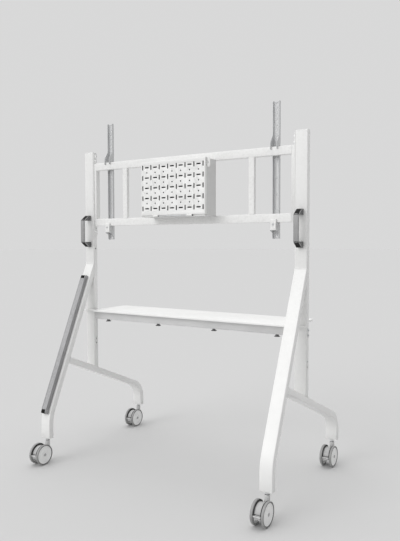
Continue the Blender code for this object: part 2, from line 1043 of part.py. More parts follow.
# thin flange along each edge of the hood, beside the wheel
flange = arc(TRAIL, WHEEL_R, FLANGE_R, 7, 153, 12) + arc(
    TRAIL, WHEEL_R, 41.5, 153, 7, 12
)
wheel_profile = [
    (4.4, WHEEL_X[0]),
    (wheel_tip - 2.4, WHEEL_X[0]),
    (wheel_tip, WHEEL_X[0] + 2.4),
    (wheel_tip, WHEEL_X[1] - 2.4),
    (wheel_tip - 2.4, WHEEL_X[1]),
    (44.5, WHEEL_X[1]),
    (43.0, WHEEL_X[1] - 1.4),
    (4.4, WHEEL_X[1] - 1.4),
]
corners = (
    ("front_left", -SIDE_X, CASTER_FRONT_Y),
    ("front_right", SIDE_X, CASTER_FRONT_Y),
    ("rear_left", -SIDE_X, CASTER_REAR_Y),
    ("rear_right", SIDE_X, CASTER_REAR_Y),
)
for corner, x, y in corners:
    axle_y = y + TRAIL
    stem = put(
        "caster_stem_" + corner,
        turned(
            [
                (0, 94),
                (6.0, 94),
                (6.0, COLLAR_TOP_Z + 2.2),
                (BOSS_R, COLLAR_TOP_Z + 2.2),
                (BOSS_R, FOOT_BOTTOM_Z - GAP),
                (6.0, FOOT_BOTTOM_Z - GAP),
                (6.0, FOOT_BOTTOM_Z + PLATE_T + GAP),
                (10.0, FOOT_BOTTOM_Z + PLATE_T + GAP),
                (10.0, FOOT_BOTTOM_Z + PLATE_T + 8),
                (6.0, FOOT_BOTTOM_Z + PLATE_T + 8),
                (6.0, FOOT_BOTTOM_Z + 26),
                (0, FOOT_BOTTOM_Z + 26),
            ],
            (x, y, 0),
            "Z",
            12,
        ),
        STEEL,
        (x, y, FOOT_BOTTOM_Z),
        None,
        True,
    )
    swivel = group("caster_swivel_" + corner, (x, y, WHEEL_R))
    shell = put(
        "caster_body_" + corner,
        along_x([(y + u, z) for u, z in body_outline], x - BODY_HALF, x + BODY_HALF),
        LIGHT,
        (x, y, WHEEL_R),
        swivel,
    )
    add(shell, [rod(COLLAR_R, 62, COLLAR_TOP_Z, (x, y, 0), "Z", 16)])
    flange_yz = [(y + u, z) for u, z in flange]
    add(
        shell,
        [
            along_x(
                flange_yz, *sorted((x + s * (BODY_HALF - 1.4), x + s * (BODY_HALF - 0.2)))
            )
            for s in (-1, 1)
        ],
    )
    add(
        shell,
        [
            turned(
                [
                    (0, -AXLE_END),
                    (7.5, -AXLE_END),
                    (7.5, 1.2 - AXLE_END),
                    (4.0, 1.2 - AXLE_END),
                    (4.0, AXLE_END - 1.2),
                    (7.5, AXLE_END - 1.2),
                    (7.5, AXLE_END),
                    (0, AXLE_END),
                ],
                (x, axle_y, WHEEL_R),
                "X",
                10,
            ),
            block(x - 6, x + 6, y + 59, y + 73, 41, 51),
        ],
    )
    cut(
        shell,
        [
            rod(6.7, 93, 120, (x, y, 0), "Z", 12),
            rod(2.5, -12, 12, (x, y + PEDAL_PIVOT[0], PEDAL_PIVOT[1]), "X"),
        ],
    )
    for name, direction in (("a", -1), ("b", 1)):
        put(
            "caster_wheel_" + corner + "_" + name,
            turned(
                [(r, direction * t) for r, t in wheel_profile],
                (x, axle_y, WHEEL_R),
                "X",
                WHEEL_SIDES,
            ),
            TYRE,
            (x, axle_y, WHEEL_R),
            swivel,
            True,
        )
    pedal = put(
        "caster_pedal_" + corner,
        along_x(
            [(y + u, z) for u, z in pedal_outline], x - ARCH_HALF, x + ARCH_HALF
        ),
        DARK,
        (x, y + PEDAL_PIVOT[0], PEDAL_PIVOT[1]),
        swivel,
    )
    add(
        pedal,
        [
            along_x(
                [(y + u, z) for u, z in tab_outline], x - PEDAL_HALF, x + PEDAL_HALF
            )
        ],
    )
    cut(
        pedal,
        [
            block(x - 6.5, x + 6.5, y + 55, y + 76, 30, 70),
            along_y(
                arc(x, 31.5, 10.4, 0, 180, 9) + [(x - 10.4, 20), (x + 10.4, 20)],
                y + 78,
                y + 110,
            ),
        ],
    )
    add(
        pedal,
        [
            rod(
                2.0,
                0.6 - ARCH_HALF,
                ARCH_HALF - 0.6,
                (x, y + PEDAL_PIVOT[0], PEDAL_PIVOT[1]),
                "X",
            )
        ],
    )
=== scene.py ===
"""TV cart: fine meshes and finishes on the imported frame.

The helpers take millimetres in the cart's own axes: X across (left is -X), Y
from front (-) to rear (+) with 0 at the uprights' rear faces, Z up from the
floor. FRAME_Y moves them to the frame's origin, the middle of the footprint.
"""

import math

import bmesh
import bpy
from mathutils import Matrix, Vector, noise

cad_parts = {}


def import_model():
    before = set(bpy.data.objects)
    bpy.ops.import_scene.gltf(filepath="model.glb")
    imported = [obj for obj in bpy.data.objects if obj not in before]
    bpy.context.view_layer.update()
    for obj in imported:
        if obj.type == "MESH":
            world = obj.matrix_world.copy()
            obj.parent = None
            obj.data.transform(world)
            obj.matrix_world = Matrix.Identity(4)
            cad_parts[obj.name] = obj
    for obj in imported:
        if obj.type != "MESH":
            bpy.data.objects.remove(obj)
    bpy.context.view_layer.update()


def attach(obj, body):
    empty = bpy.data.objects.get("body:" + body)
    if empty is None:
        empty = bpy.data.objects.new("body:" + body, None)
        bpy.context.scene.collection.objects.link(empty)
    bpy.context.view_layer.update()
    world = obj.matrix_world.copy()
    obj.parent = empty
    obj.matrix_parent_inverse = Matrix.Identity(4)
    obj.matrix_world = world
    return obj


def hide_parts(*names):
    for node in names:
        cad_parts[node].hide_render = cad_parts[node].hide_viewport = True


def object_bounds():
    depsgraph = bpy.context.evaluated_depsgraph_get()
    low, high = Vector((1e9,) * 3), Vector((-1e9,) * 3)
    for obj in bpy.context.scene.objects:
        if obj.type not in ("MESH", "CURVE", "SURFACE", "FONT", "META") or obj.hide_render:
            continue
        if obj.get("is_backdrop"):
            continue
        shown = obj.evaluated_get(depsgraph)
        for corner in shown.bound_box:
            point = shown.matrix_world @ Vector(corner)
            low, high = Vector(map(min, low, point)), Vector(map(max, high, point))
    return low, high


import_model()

MM = 0.001
FRAME_Y = 5.5
GAP = 0.3
SIDES = (("left", -1), ("right", 1))


# ------------------------------------------------------------ shape helpers
def fillet(points, radii, steps):
    """A closed 2D outline with the given corners rounded; radius 0 keeps a corner."""
    out = []
    n = len(points)
    if isinstance(radii, (int, float)):
        radii = [radii] * n
    for i, (point, radius) in enumerate(zip(points, radii)):
        if radius <= 0:
            out.append(tuple(point))
            continue
        here = Vector(point)
        before = (Vector(points[i - 1]) - here).normalized()
        after = (Vector(points[(i + 1) % n]) - here).normalized()
        half = before.angle(after) / 2
        reach = radius / math.tan(half)
        middle = here + (before + after).normalized() * (radius / math.sin(half))
        start = here + before * reach - middle
        turn = math.pi - 2 * half
        side = 1 if start.y * before.x - start.x * before.y > 0 else -1
        for k in range(steps + 1):
            a = side * turn * k / steps
            out.append(
                (
                    middle.x + start.x * math.cos(a) - start.y * math.sin(a),
                    middle.y + start.x * math.sin(a) + start.y * math.cos(a),
                )
            )
    return out


def circle(cu, cv, radius, sides, phase=0.5):
    return [
        (
            cu + radius * math.cos(2 * math.pi * (k + phase) / sides),
            cv + radius * math.sin(2 * math.pi * (k + phase) / sides),
        )
        for k in range(sides)
    ]


def arc(cu, cv, radius, start, end, steps):
    """Points on an arc, angles in degrees."""
    return [
        (
            cu + radius * math.cos(math.radians(start + (end - start) * k / steps)),
            cv + radius * math.sin(math.radians(start + (end - start) * k / steps)),
        )
        for k in range(steps + 1)
    ]


def rounded_rect(width, height, radius, steps=5, cu=0.0, cv=0.0):
    out = []
    for k, (su, sv) in enumerate(((1, 1), (-1, 1), (-1, -1), (1, -1))):
        out += arc(
            cu + su * (width / 2 - radius),
            cv + sv * (height / 2 - radius),
            radius,
            90 * k,
            90 * k + 90,
            steps,
        )
    return out


def stadium(cu, cv, length, width, upright, steps=6):
    """A slot's outline with half-round ends."""
    r = width / 2
    h = length / 2 - r
    if upright:
        return arc(cu, cv + h, r, 0, 180, steps) + arc(cu, cv - h, r, 180, 360, steps)
    return arc(cu + h, cv, r, -90, 90, steps) + arc(cu - h, cv, r, 90, 270, steps)


def prism(outline, length, origin, u, v, w):
    origin, u, v, w = Vector(origin), Vector(u), Vector(v), Vector(w)
    n = len(outline)
    verts = [origin + u * a + v * b for a, b in outline]
    verts += [p + w * length for p in verts]
    faces = [tuple(range(n)), tuple(range(n, 2 * n))]
    faces += [(i, (i + 1) % n, n + (i + 1) % n, n + i) for i in range(n)]
    return verts, faces


def along_x(outline_yz, x0, x1):
    return prism(outline_yz, x1 - x0, (x0, 0, 0), (0, 1, 0), (0, 0, 1), (1, 0, 0))


def along_y(outline_xz, y0, y1):
    return prism(outline_xz, y1 - y0, (0, y0, 0), (1, 0, 0), (0, 0, 1), (0, 1, 0))


def along_z(outline_xy, z0, z1):
    return prism(outline_xy, z1 - z0, (0, 0, z0), (1, 0, 0), (0, 1, 0), (0, 0, 1))


def block(x0, x1, y0, y1, z0, z1):
    return along_z([(x0, y0), (x1, y0), (x1, y1), (x0, y1)], z0, z1)


AXES = {
    "X": (Vector((1, 0, 0)), Vector((0, 1, 0)), Vector((0, 0, 1))),
    "Y": (Vector((0, 1, 0)), Vector((1, 0, 0)), Vector((0, 0, 1))),
    "Z": (Vector((0, 0, 1)), Vector((1, 0, 0)), Vector((0, 1, 0))),
}


def turned(profile, centre, axis, sides, phase=0.5):
    """A closed (radius, distance along the axis) outline turned about a line."""
    centre = Vector(centre)
    w, u, v = AXES[axis]
    verts, rings = [], []
    for radius, along in profile:
        if radius < 1e-6:
            rings.append([len(verts)] * sides)
            verts.append(centre + w * along)
            continue
        rings.append(list(range(len(verts), len(verts) + sides)))
        verts += [
            centre + w * along + u * a + v * b
            for a, b in circle(0, 0, radius, sides, phase)
        ]
    faces = []
    for ring, following in zip(rings, rings[1:] + rings[:1]):
        for i in range(sides):
            j = (i + 1) % sides
            corners = []
            for index in (ring[i], ring[j], following[j], following[i]):
                if index not in corners:
                    corners.append(index)
            if len(corners) > 2:
                faces.append(tuple(corners))
    return verts, faces


def rod(radius, start, end, centre, axis, sides=24):
    return turned(
        [(0, start), (radius, start), (radius, end), (0, end)], centre, axis, sides
    )


def smooth_profile(points, radii, steps=4):
    """A turned outline with its corners rounded."""
    return fillet(points, radii, steps)


def cross(line_point, line_dir, plane_point, plane_normal):
    """Where a 2D line meets a 2D cutting line."""
    t = (plane_point - line_point).dot(plane_normal) / line_dir.dot(plane_normal)
    return line_point + line_dir * t


def tube(path, x_mid, width, depth, radius, first_cut, last_cut, wall=0.0, steps=5):
    """A rectangular tube with rounded corners along a path in the YZ plane.

    The cuts are (point, normal) of the planes that end it. With a wall it is
    hollow and open at both ends.
    """
    points = [Vector(p) for p in path]
    dirs = [(b - a).normalized() for a, b in zip(points, points[1:])]
    cuts = [(Vector(first_cut[0]), Vector(first_cut[1]).normalized())]
    for i in range(1, len(points) - 1):
        cuts.append((points[i], (dirs[i - 1] + dirs[i]).normalized()))
    cuts.append((Vector(last_cut[0]), Vector(last_cut[1]).normalized()))
    verts, faces = [], []

    def loop(profile, station):
        first = len(verts)
        segment = min(station, len(dirs) - 1)
        d = dirs[segment]
        n = Vector((-d.y, d.x))
        place, normal = cuts[station]
        for a, b in profile:
            hit = cross(points[segment] + n * b, d, place, normal)
            verts.append(Vector((x_mid + a, hit.x, hit.y)))
        return list(range(first, first + len(profile)))

    def skin(a, b):
        n = len(a)
        for i in range(n):
            faces.append((a[i], a[(i + 1) % n], b[(i + 1) % n], b[i]))

    outer = [
        loop(rounded_rect(width, depth, radius, steps), k) for k in range(len(points))
    ]
    for a, b in zip(outer, outer[1:]):
        skin(a, b)
    if wall:
        thin = rounded_rect(
            width - 2 * wall, depth - 2 * wall, max(radius - wall, 0.8), steps
        )
        inner = [loop(thin, k) for k in range(len(points))]
        for a, b in zip(inner, inner[1:]):
            skin(a, b)
        skin(outer[0], inner[0])
        skin(outer[-1], inner[-1])
    else:
        faces.append(tuple(outer[0]))
        faces.append(tuple(outer[-1]))
    return verts, faces


def join(shapes):
    verts, faces = [], []
    for v, f in shapes:
        faces += [tuple(i + len(verts) for i in face) for face in f]
        verts += v
    return verts, faces


def world(point):
    return Vector((point[0], point[1] + FRAME_Y, point[2])) * MM


def raw_mesh(name, shape):
    verts, faces = shape
    mesh = bpy.data.meshes.new(name)
    mesh.from_pydata([tuple(v) for v in verts], [], faces)
    work = bmesh.new()
    work.from_mesh(mesh)
    bmesh.ops.remove_doubles(work, verts=work.verts, dist=1e-4)
    bmesh.ops.recalc_face_normals(work, faces=work.faces)
    work.to_mesh(mesh)
    work.free()
    mesh.update()
    return mesh


def evaluated_shape(obj):
    graph = bpy.context.evaluated_depsgraph_get()
    mesh = bpy.data.meshes.new_from_object(obj.evaluated_get(graph))
    shape = (
        [v.co.copy() for v in mesh.vertices],
        [tuple(p.vertices) for p in mesh.polygons],
    )
    bpy.data.meshes.remove(mesh)
    return shape


def temporary(name, shape):
    obj = bpy.data.objects.new(name, raw_mesh(name, shape))
    bpy.context.scene.collection.objects.link(obj)
    return obj


def drop(obj):
    mesh = obj.data
    bpy.data.objects.remove(obj, do_unlink=True)
    bpy.data.meshes.remove(mesh)


def carve(shape, tools, operation="DIFFERENCE"):
    """The shape after a Boolean with each tool in turn."""
    for tool in tools:
        a, b = temporary("carve_a", shape), temporary("carve_b", tool)
        modifier = a.modifiers.new("cut", "BOOLEAN")
        modifier.operation = operation
        modifier.solver = "EXACT"
        modifier.object = b
        shape = evaluated_shape(a)
        drop(a)
        drop(b)
    return shape


def soften(shape, test, radius, segments=4):
    """Rounds the edges for which test(start, end) is true."""
    verts, faces = shape
    work = bmesh.new()
    made = [work.verts.new(v) for v in verts]
    for face in faces:
        work.faces.new([made[i] for i in face])
    bmesh.ops.remove_doubles(work, verts=work.verts, dist=1e-4)
    bmesh.ops.recalc_face_normals(work, faces=work.faces)
    chosen = [
        e
        for e in work.edges
        if len(e.link_faces) == 2
        and e.calc_face_angle(0) > math.radians(20)
        and test(e.verts[0].co, e.verts[1].co)
    ]
    bmesh.ops.bevel(
        work,
        geom=chosen,
        offset=radius,
        offset_type="OFFSET",
        segments=segments,
        profile=0.5,
        affect="EDGES",
        clamp_overlap=True,
    )
    work.verts.index_update()
    out = (
        [v.co.copy() for v in work.verts],
        [tuple(v.index for v in f.verts) for f in work.faces],
    )
    work.free()
    return out


def piece(
    name,
    shape,
    material,
    body="root",
    nodes=(),
    bevel=0.0,
    segments=2,
    angle=32.0,
    origin=(0, 0, 0),
):
    """A finished piece of the cart: smooth-shaded, edges rounded, riding on its body."""
    verts, faces = shape
    base = world(origin)
    mesh = raw_mesh(name, ([world(v) * 1000 for v in verts], faces))
    mesh.transform(Matrix.Scale(MM, 4))
    mesh.transform(Matrix.Translation(-base))
    obj = bpy.data.objects.new(name, mesh)
    obj.location = base
    bpy.context.scene.collection.objects.link(obj)
    mesh.shade_smooth()
    if bevel:
        modifier = obj.modifiers.new("edges", "BEVEL")
        modifier.width = bevel * MM
        modifier.segments = segments
        modifier.limit_method = "ANGLE"
        modifier.angle_limit = math.radians(angle)
        modifier.harden_normals = True
        modifier.use_clamp_overlap = True
        bpy.context.view_layer.update()
        graph = bpy.context.evaluated_depsgraph_get()
        done = bpy.data.meshes.new_from_object(obj.evaluated_get(graph))
        obj.modifiers.clear()
        obj.data = done
        bpy.data.meshes.remove(mesh)
        mesh = done
        mesh.name = name
    mesh.set_sharp_from_angle(angle=math.radians(angle))
    mesh.materials.clear()
    mesh.materials.append(material)
    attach(obj, body)
    if nodes:
        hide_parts(*nodes)
    return obj


# ------------------------------------------------------------ finishes
def node(tree, kind, **settings):
    made = tree.nodes.new(kind)
    for key, value in settings.items():
        if key in made.inputs:
            made.inputs[key].default_value = value
        else:
            setattr(made, key, value)
    return made


def ramp(tree, source, stops):
    made = tree.nodes.new("ShaderNodeValToRGB")
    marks = made.color_ramp.elements
    while len(marks) < len(stops):
        marks.new(0.5)
    for mark, (place, colour) in zip(marks, stops):
        mark.position = place
        mark.color = (*colour, 1.0) if len(colour) == 3 else colour
    tree.links.new(source, made.inputs["Fac"])
    return made.outputs["Color"]


def span(tree, source, low, high, out_low, out_high):
    made = node(tree, "ShaderNodeMapRange")
    made.inputs["From Min"].default_value = low
    made.inputs["From Max"].default_value = high
    made.inputs["To Min"].default_value = out_low
    made.inputs["To Max"].default_value = out_high
    tree.links.new(source, made.inputs["Value"])
    return made.outputs["Result"]


def noise_of(tree, place, scale, detail=3.0, rough=0.5):
    made = node(tree, "ShaderNodeTexNoise")
    made.inputs["Scale"].default_value = scale
    made.inputs["Detail"].default_value = detail
    made.inputs["Roughness"].default_value = rough
    tree.links.new(place, made.inputs["Vector"])
    return made.outputs["Fac"]


def mixed(tree, factor, a, b, blend="MIX"):
    """Colour a with colour b over it; each may be a socket or a colour."""
    made = node(tree, "ShaderNodeMix", data_type="RGBA", blend_type=blend)
    for socket, value in ((made.inputs[0], factor), (made.inputs[6], a), (made.inputs[7], b)):
        if isinstance(value, bpy.types.NodeSocket):
            tree.links.new(value, socket)
        elif isinstance(value, tuple):
            socket.default_value = (*value, 1.0)
        else:
            socket.default_value = value
    return made.outputs[2]


def times(tree, a, b):
    made = node(tree, "ShaderNodeMath", operation="MULTIPLY")
    for socket, value in zip(made.inputs, (a, b)):
        if isinstance(value, bpy.types.NodeSocket):
            tree.links.new(value, socket)
        else:
            socket.default_value = value
    return made.outputs[0]


def finish(
    name,
    low,
    high,
    rough,
    grain,
    bump,
    patch=5.0,
    metallic=0.0,
    worn=None,
    wear=0.3,
    speck=None,
    stretch=None,
    turn=(0.0, 0.0, 0.0),
    spangle=None,
    coat=0.0,
    specular=0.5,
):
    """A procedural finish.

    low and high are the colours that a soft patchy noise blends; rough is the
    range of roughness; grain is the surface texture's noise scale per metre and
    bump its height in metres; worn is the colour that shows on rubbed edges.
    """
    material = bpy.data.materials.new(name)
    material.use_nodes = True
    tree = material.node_tree
    shader = tree.nodes["Principled BSDF"]
    shader.inputs["Metallic"].default_value = metallic
    shader.inputs["Specular IOR Level"].default_value = specular
    if coat:
        shader.inputs["Coat Weight"].default_value = coat
        shader.inputs["Coat Roughness"].default_value = 0.25
    place = node(tree, "ShaderNodeTexCoord").outputs["Object"]
    fine = place
    if stretch:
        turned_place = node(tree, "ShaderNodeMapping", vector_type="POINT")
        turned_place.inputs["Rotation"].default_value = turn
        turned_place.inputs["Scale"].default_value = stretch
        tree.links.new(place, turned_place.inputs["Vector"])
        fine = turned_place.outputs["Vector"]
    colour = ramp(
        tree, noise_of(tree, place, patch, 4.0, 0.55), [(0.36, low), (0.64, high)]
    )
    if spangle:
        cells = node(tree, "ShaderNodeTexVoronoi", feature="F1")
        cells.inputs["Scale"].default_value = spangle
        tree.links.new(place, cells.inputs["Vector"])
        bright = span(tree, cells.outputs["Color"], 0.0, 1.0, 0.0, 0.08)
        colour = mixed(tree, bright, colour, tuple(min(c * 1.18, 1.0) for c in high))
    if speck:
        dots = noise_of(tree, place, speck[0], 2.0, 0.6)
        colour = mixed(tree, span(tree, dots, 0.68, 0.78, 0.0, speck[2]), colour, speck[1])
    if worn:
        geometry = node(tree, "ShaderNodeNewGeometry")
        edge = span(tree, geometry.outputs["Pointiness"], 0.53, 0.62, 0.0, 1.0)
        broken = span(tree, noise_of(tree, place, 90.0, 4.0, 0.65), 0.45, 0.62, 0.0, wear)
        colour = mixed(tree, times(tree, edge, broken), colour, worn)
    tree.links.new(colour, shader.inputs["Base Color"])
    tree.links.new(
        span(tree, noise_of(tree, fine, patch * 9, 3.0, 0.6), 0.3, 0.7, *rough),
        shader.inputs["Roughness"],
    )
    relief = node(tree, "ShaderNodeBump")
    relief.inputs["Strength"].default_value = 1.0
    relief.inputs["Distance"].default_value = bump
    tree.links.new(noise_of(tree, fine, grain, 2.0, 0.5), relief.inputs["Height"])
    tree.links.new(relief.outputs["Normal"], shader.inputs["Normal"])
    return material


WHITE = finish(
    "powder_coat_white",
    (0.834, 0.834, 0.826),
    (0.864, 0.864, 0.856),
    (0.36, 0.50),
    grain=650.0,
    bump=0.00003,
    worn=(0.62, 0.62, 0.61),
    wear=0.35,
    speck=(240.0, (0.70, 0.70, 0.69), 0.18),
    coat=0.12,
)
# painted shade: the beam's coat is greyer than the frame's white to stand in for the shade under the shelf's overhang
SHADED_BEAM_COAT = finish(
    "powder_coat_painted_shade_grey",
    (0.60, 0.60, 0.60),
    (0.65, 0.65, 0.65),
    (0.38, 0.52),
    grain=650.0,
    bump=0.00003,
    worn=(0.74, 0.74, 0.73),
    wear=0.35,
    speck=(240.0, (0.54, 0.54, 0.54), 0.18),
    coat=0.10,
)
SHEET = finish(
    "powder_coat_sheet",
    (0.838, 0.838, 0.830),
    (0.866, 0.866, 0.858),
    (0.40, 0.52),
    grain=900.0,
    bump=0.00002,
    patch=9.0,
    worn=(0.60, 0.60, 0.59),
    wear=0.4,
    coat=0.08,
)
# painted shade: the box's coat is greyer than the frame's white to stand in for the shade on its sides
PAINTED_SHADE_BOX_SHEET = finish(
    "powder_coat_painted_shade_box",
    (0.648, 0.648, 0.643),
    (0.672, 0.672, 0.667),
    (0.42, 0.54),
    grain=900.0,
    bump=0.00002,
    patch=9.0,
    worn=(0.80, 0.80, 0.79),
    wear=0.4,
    coat=0.06,
)
ARM = finish(
    "arm_grey_sheet",
    (0.555, 0.56, 0.565),
    (0.605, 0.61, 0.615),
    (0.36, 0.50),
    grain=1200.0,
    bump=0.000012,
    patch=8.0,
    metallic=0.12,
    worn=(0.80, 0.81, 0.82),
    wear=0.5,
    spangle=260.0,
)
COVER = finish(
    "cover_grey_satin",
    (0.325, 0.325, 0.33),
    (0.365, 0.365, 0.37),
    (0.34, 0.48),
    grain=1.0,
    bump=0.00002,
    patch=7.0,
    metallic=0.45,
    worn=(0.52, 0.52, 0.53),
    wear=0.6,
    stretch=(900.0, 900.0, 9.0),
    turn=(-math.atan(0.4453), 0.0, 0.0),
)
STEEL = finish(
    "zinc_plated_steel",
    (0.56, 0.57, 0.58),
    (0.66, 0.67, 0.68),
    (0.30, 0.46),
    grain=1500.0,
    bump=0.00001,
    patch=60.0,
    metallic=0.55,
    worn=(0.80, 0.80, 0.80),
    wear=0.6,
)
PIN = finish(
    "black_pin_steel",
    (0.025, 0.025, 0.026),
    (0.05, 0.05, 0.05),
    (0.28, 0.42),
    grain=1500.0,
    bump=0.00001,
    patch=50.0,
    metallic=0.15,
    worn=(0.35, 0.35, 0.35),
    wear=0.7,
)
DARK = finish(
    "dark_grey_moulded",
    (0.105, 0.105, 0.108),
    (0.15, 0.15, 0.153),
    (0.40, 0.56),
    grain=1800.0,
    bump=0.00003,
    patch=25.0,
    worn=(0.30, 0.30, 0.30),
    wear=0.5,
)
BRACKET = finish(
    "handle_bracket_grey",
    (0.13, 0.13, 0.132),
    (0.18, 0.18, 0.182),
    (0.26, 0.40),
    grain=1800.0,
    bump=0.00002,
    patch=25.0,
    metallic=0.3,
    worn=(0.45, 0.45, 0.45),
    wear=0.6,
)
# black moulding, also used as painted shade: the casters' collar ring and, in part, the flanges beside the wheels
BLACK_AND_SHADE = finish(
    "black_moulded_and_painted_shade",
    (0.016, 0.016, 0.016),
    (0.030, 0.030, 0.030),
    (0.38, 0.52),
    grain=1800.0,
    bump=0.00003,
    patch=25.0,
    worn=(0.12, 0.12, 0.12),
    wear=0.5,
)
# matt black moulding for the cable cover's plugs; also painted shade inside the box and on the handles' slanted faces
DEEP_MATT_AND_SHADE = finish(
    "matt_black_and_painted_shade",
    (0.006, 0.006, 0.006),
    (0.014, 0.014, 0.014),
    (0.66, 0.80),
    grain=1800.0,
    bump=0.00003,
    patch=25.0,
    worn=(0.06, 0.06, 0.06),
    wear=0.4,
    specular=0.18,
)
GREY = finish(
    "light_grey_moulded",
    (0.40, 0.40, 0.40),
    (0.47, 0.47, 0.47),
    (0.34, 0.48),
    grain=1500.0,
    bump=0.00003,
    patch=20.0,
    worn=(0.62, 0.62, 0.62),
    wear=0.5,
)
# pale grey moulding for the pedals; also painted highlight strips on the handle brackets
PALE_AND_HIGHLIGHT = finish(
    "pale_grey_and_painted_highlight",
    (0.46, 0.46, 0.46),
    (0.53, 0.53, 0.53),
    (0.32, 0.46),
    grain=1500.0,
    bump=0.00003,
    patch=20.0,
    worn=(0.75, 0.75, 0.75),
    wear=0.5,
)
COLLAR = finish(
    "caster_collar_light_grey",
    (0.66, 0.66, 0.66),
    (0.73, 0.73, 0.73),
    (0.34, 0.48),
    grain=1500.0,
    bump=0.00003,
    patch=30.0,
    worn=(0.50, 0.50, 0.50),
    wear=0.5,
)
PLATED = finish(
    "bright_plated_nut",
    (0.74, 0.745, 0.75),
    (0.81, 0.815, 0.82),
    (0.30, 0.42),
    grain=1500.0,
    bump=0.00001,
    patch=70.0,
    metallic=0.25,
    worn=(0.88, 0.88, 0.88),
    wear=0.5,
)
DISC = finish(
    "white_moulded_disc",
    (0.875, 0.875, 0.87),
    (0.92, 0.92, 0.915),
    (0.26, 0.38),
    grain=1300.0,
    bump=0.00002,
    patch=20.0,
    worn=(0.72, 0.72, 0.71),
    wear=0.35,
    speck=(420.0, (0.70, 0.695, 0.685), 0.25),
)
TYRE = finish(
    "grey_elastomer_tyre",
    (0.285, 0.285, 0.285),
    (0.345, 0.345, 0.342),
    (0.50, 0.68),
    grain=700.0,
    bump=0.00006,
    patch=28.0,
    worn=(0.36, 0.355, 0.35),
    wear=0.6,
    speck=(520.0, (0.38, 0.375, 0.365), 0.5),
)
# dark grey moulding for the pedal webs; also the painted shade ring on each tyre's side
SCOOP_AND_SHADE_BAND = finish(
    "pedal_dark_grey_and_painted_shade",
    (0.125, 0.125, 0.127),
    (0.165, 0.165, 0.167),
    (0.38, 0.54),
    grain=1500.0,
    bump=0.00003,
    patch=30.0,
    worn=(0.34, 0.34, 0.34),
    wear=0.6,
)
GRIP = finish(
    "handle_grip_grey",
    (0.30, 0.30, 0.302),
    (0.345, 0.345, 0.347),
    (0.38, 0.52),
    grain=1100.0,
    bump=0.00004,
    patch=22.0,
    worn=(0.50, 0.50, 0.50),
    wear=0.6,
)


# ------------------------------------------------------------ fasteners
def dome_head(x, y, z, axis, sign, radius, height, socket, depth, flange=0.0):
    """A button head with a hexagon recess. Its seat is at the given point."""
    profile = [(0, 0)]
    if flange:
        profile += [(radius + flange, 0), (radius + flange, sign * 0.9)]
    profile += [(radius, 0 if not flange else sign * 0.9)]
    for k in range(7):
        a = math.radians(90 * k / 6)
        r = radius - (radius * 0.45) * (1 - math.cos(a))
        h = height * 0.35 + height * 0.65 * math.sin(a)
        profile.append((r, sign * h))
    profile.append((0, sign * height))
    head = turned(profile, (x, y, z), axis, 32)
    w, u, v = AXES[axis]
    corner = circle(0, 0, socket / math.cos(math.pi / 6) / 2, 6, 0)
    start = Vector((x, y, z)) + w * (sign * (height - depth))
    recess = prism(corner, sign * (depth + 2), start, u, v, w)
    return carve(head, [recess])


# ------------------------------------------------------------ side frames
SIDE_X = 635.0
TOP_Z = 1645.0
CAP_T = 3.0
LEG_SLOPE = 0.4453
LEG_Y0 = 440.6
LEG_FOOT_Y = 335.0
FOOT_SLOPE = 0.427
FOOT_Z = 419.7
FOOT_END_Y = -430.0
BOTTOM_Z = 126.0
LADDER_BOLTS_Z = (1622.0, 1596.0, 1205.0)
SHELF_BOLTS_Z = (747.0, 724.0)
SPARE_HOLE_Z = (1109.0, 602.0, 577.0)

leg_angle = math.atan(LEG_SLOPE)
leg_down = Vector((math.sin(leg_angle), -math.cos(leg_angle)))
leg_rear = Vector((math.cos(leg_angle), math.sin(leg_angle)))
leg_corner_z = (LEG_Y0 - LEG_FOOT_Y) / LEG_SLOPE
foot_angle = math.atan(FOOT_SLOPE)
foot_up = Vector((-math.sin(foot_angle), math.cos(foot_angle)))
foot_back = Vector((math.cos(foot_angle), math.sin(foot_angle)))
foot_corner_z = FOOT_Z + FOOT_SLOPE * (FOOT_END_Y + 30)


def leg_centre_y(z):
    return LEG_Y0 - LEG_SLOPE * z


def foot_centre_z(y):
    return FOOT_Z + FOOT_SLOPE * (y + 30)


leg_path = fillet(
    [
        (leg_centre_y(1000), 1000),
        (LEG_FOOT_Y, leg_corner_z),
        (LEG_FOOT_Y, BOTTOM_Z),
    ],
    [0, 220, 0],
    14,
)
foot_path = fillet(
    [
        (190, foot_centre_z(190)),
        (FOOT_END_Y, foot_corner_z),
        (FOOT_END_Y, BOTTOM_Z),
    ],
    [0, 113, 0],
    24,
)
leg_front_point = Vector((leg_centre_y(520), 520)) - leg_rear * 15.3
foot_top_point = Vector((-15, foot_centre_z(-15))) + foot_up * 15.3


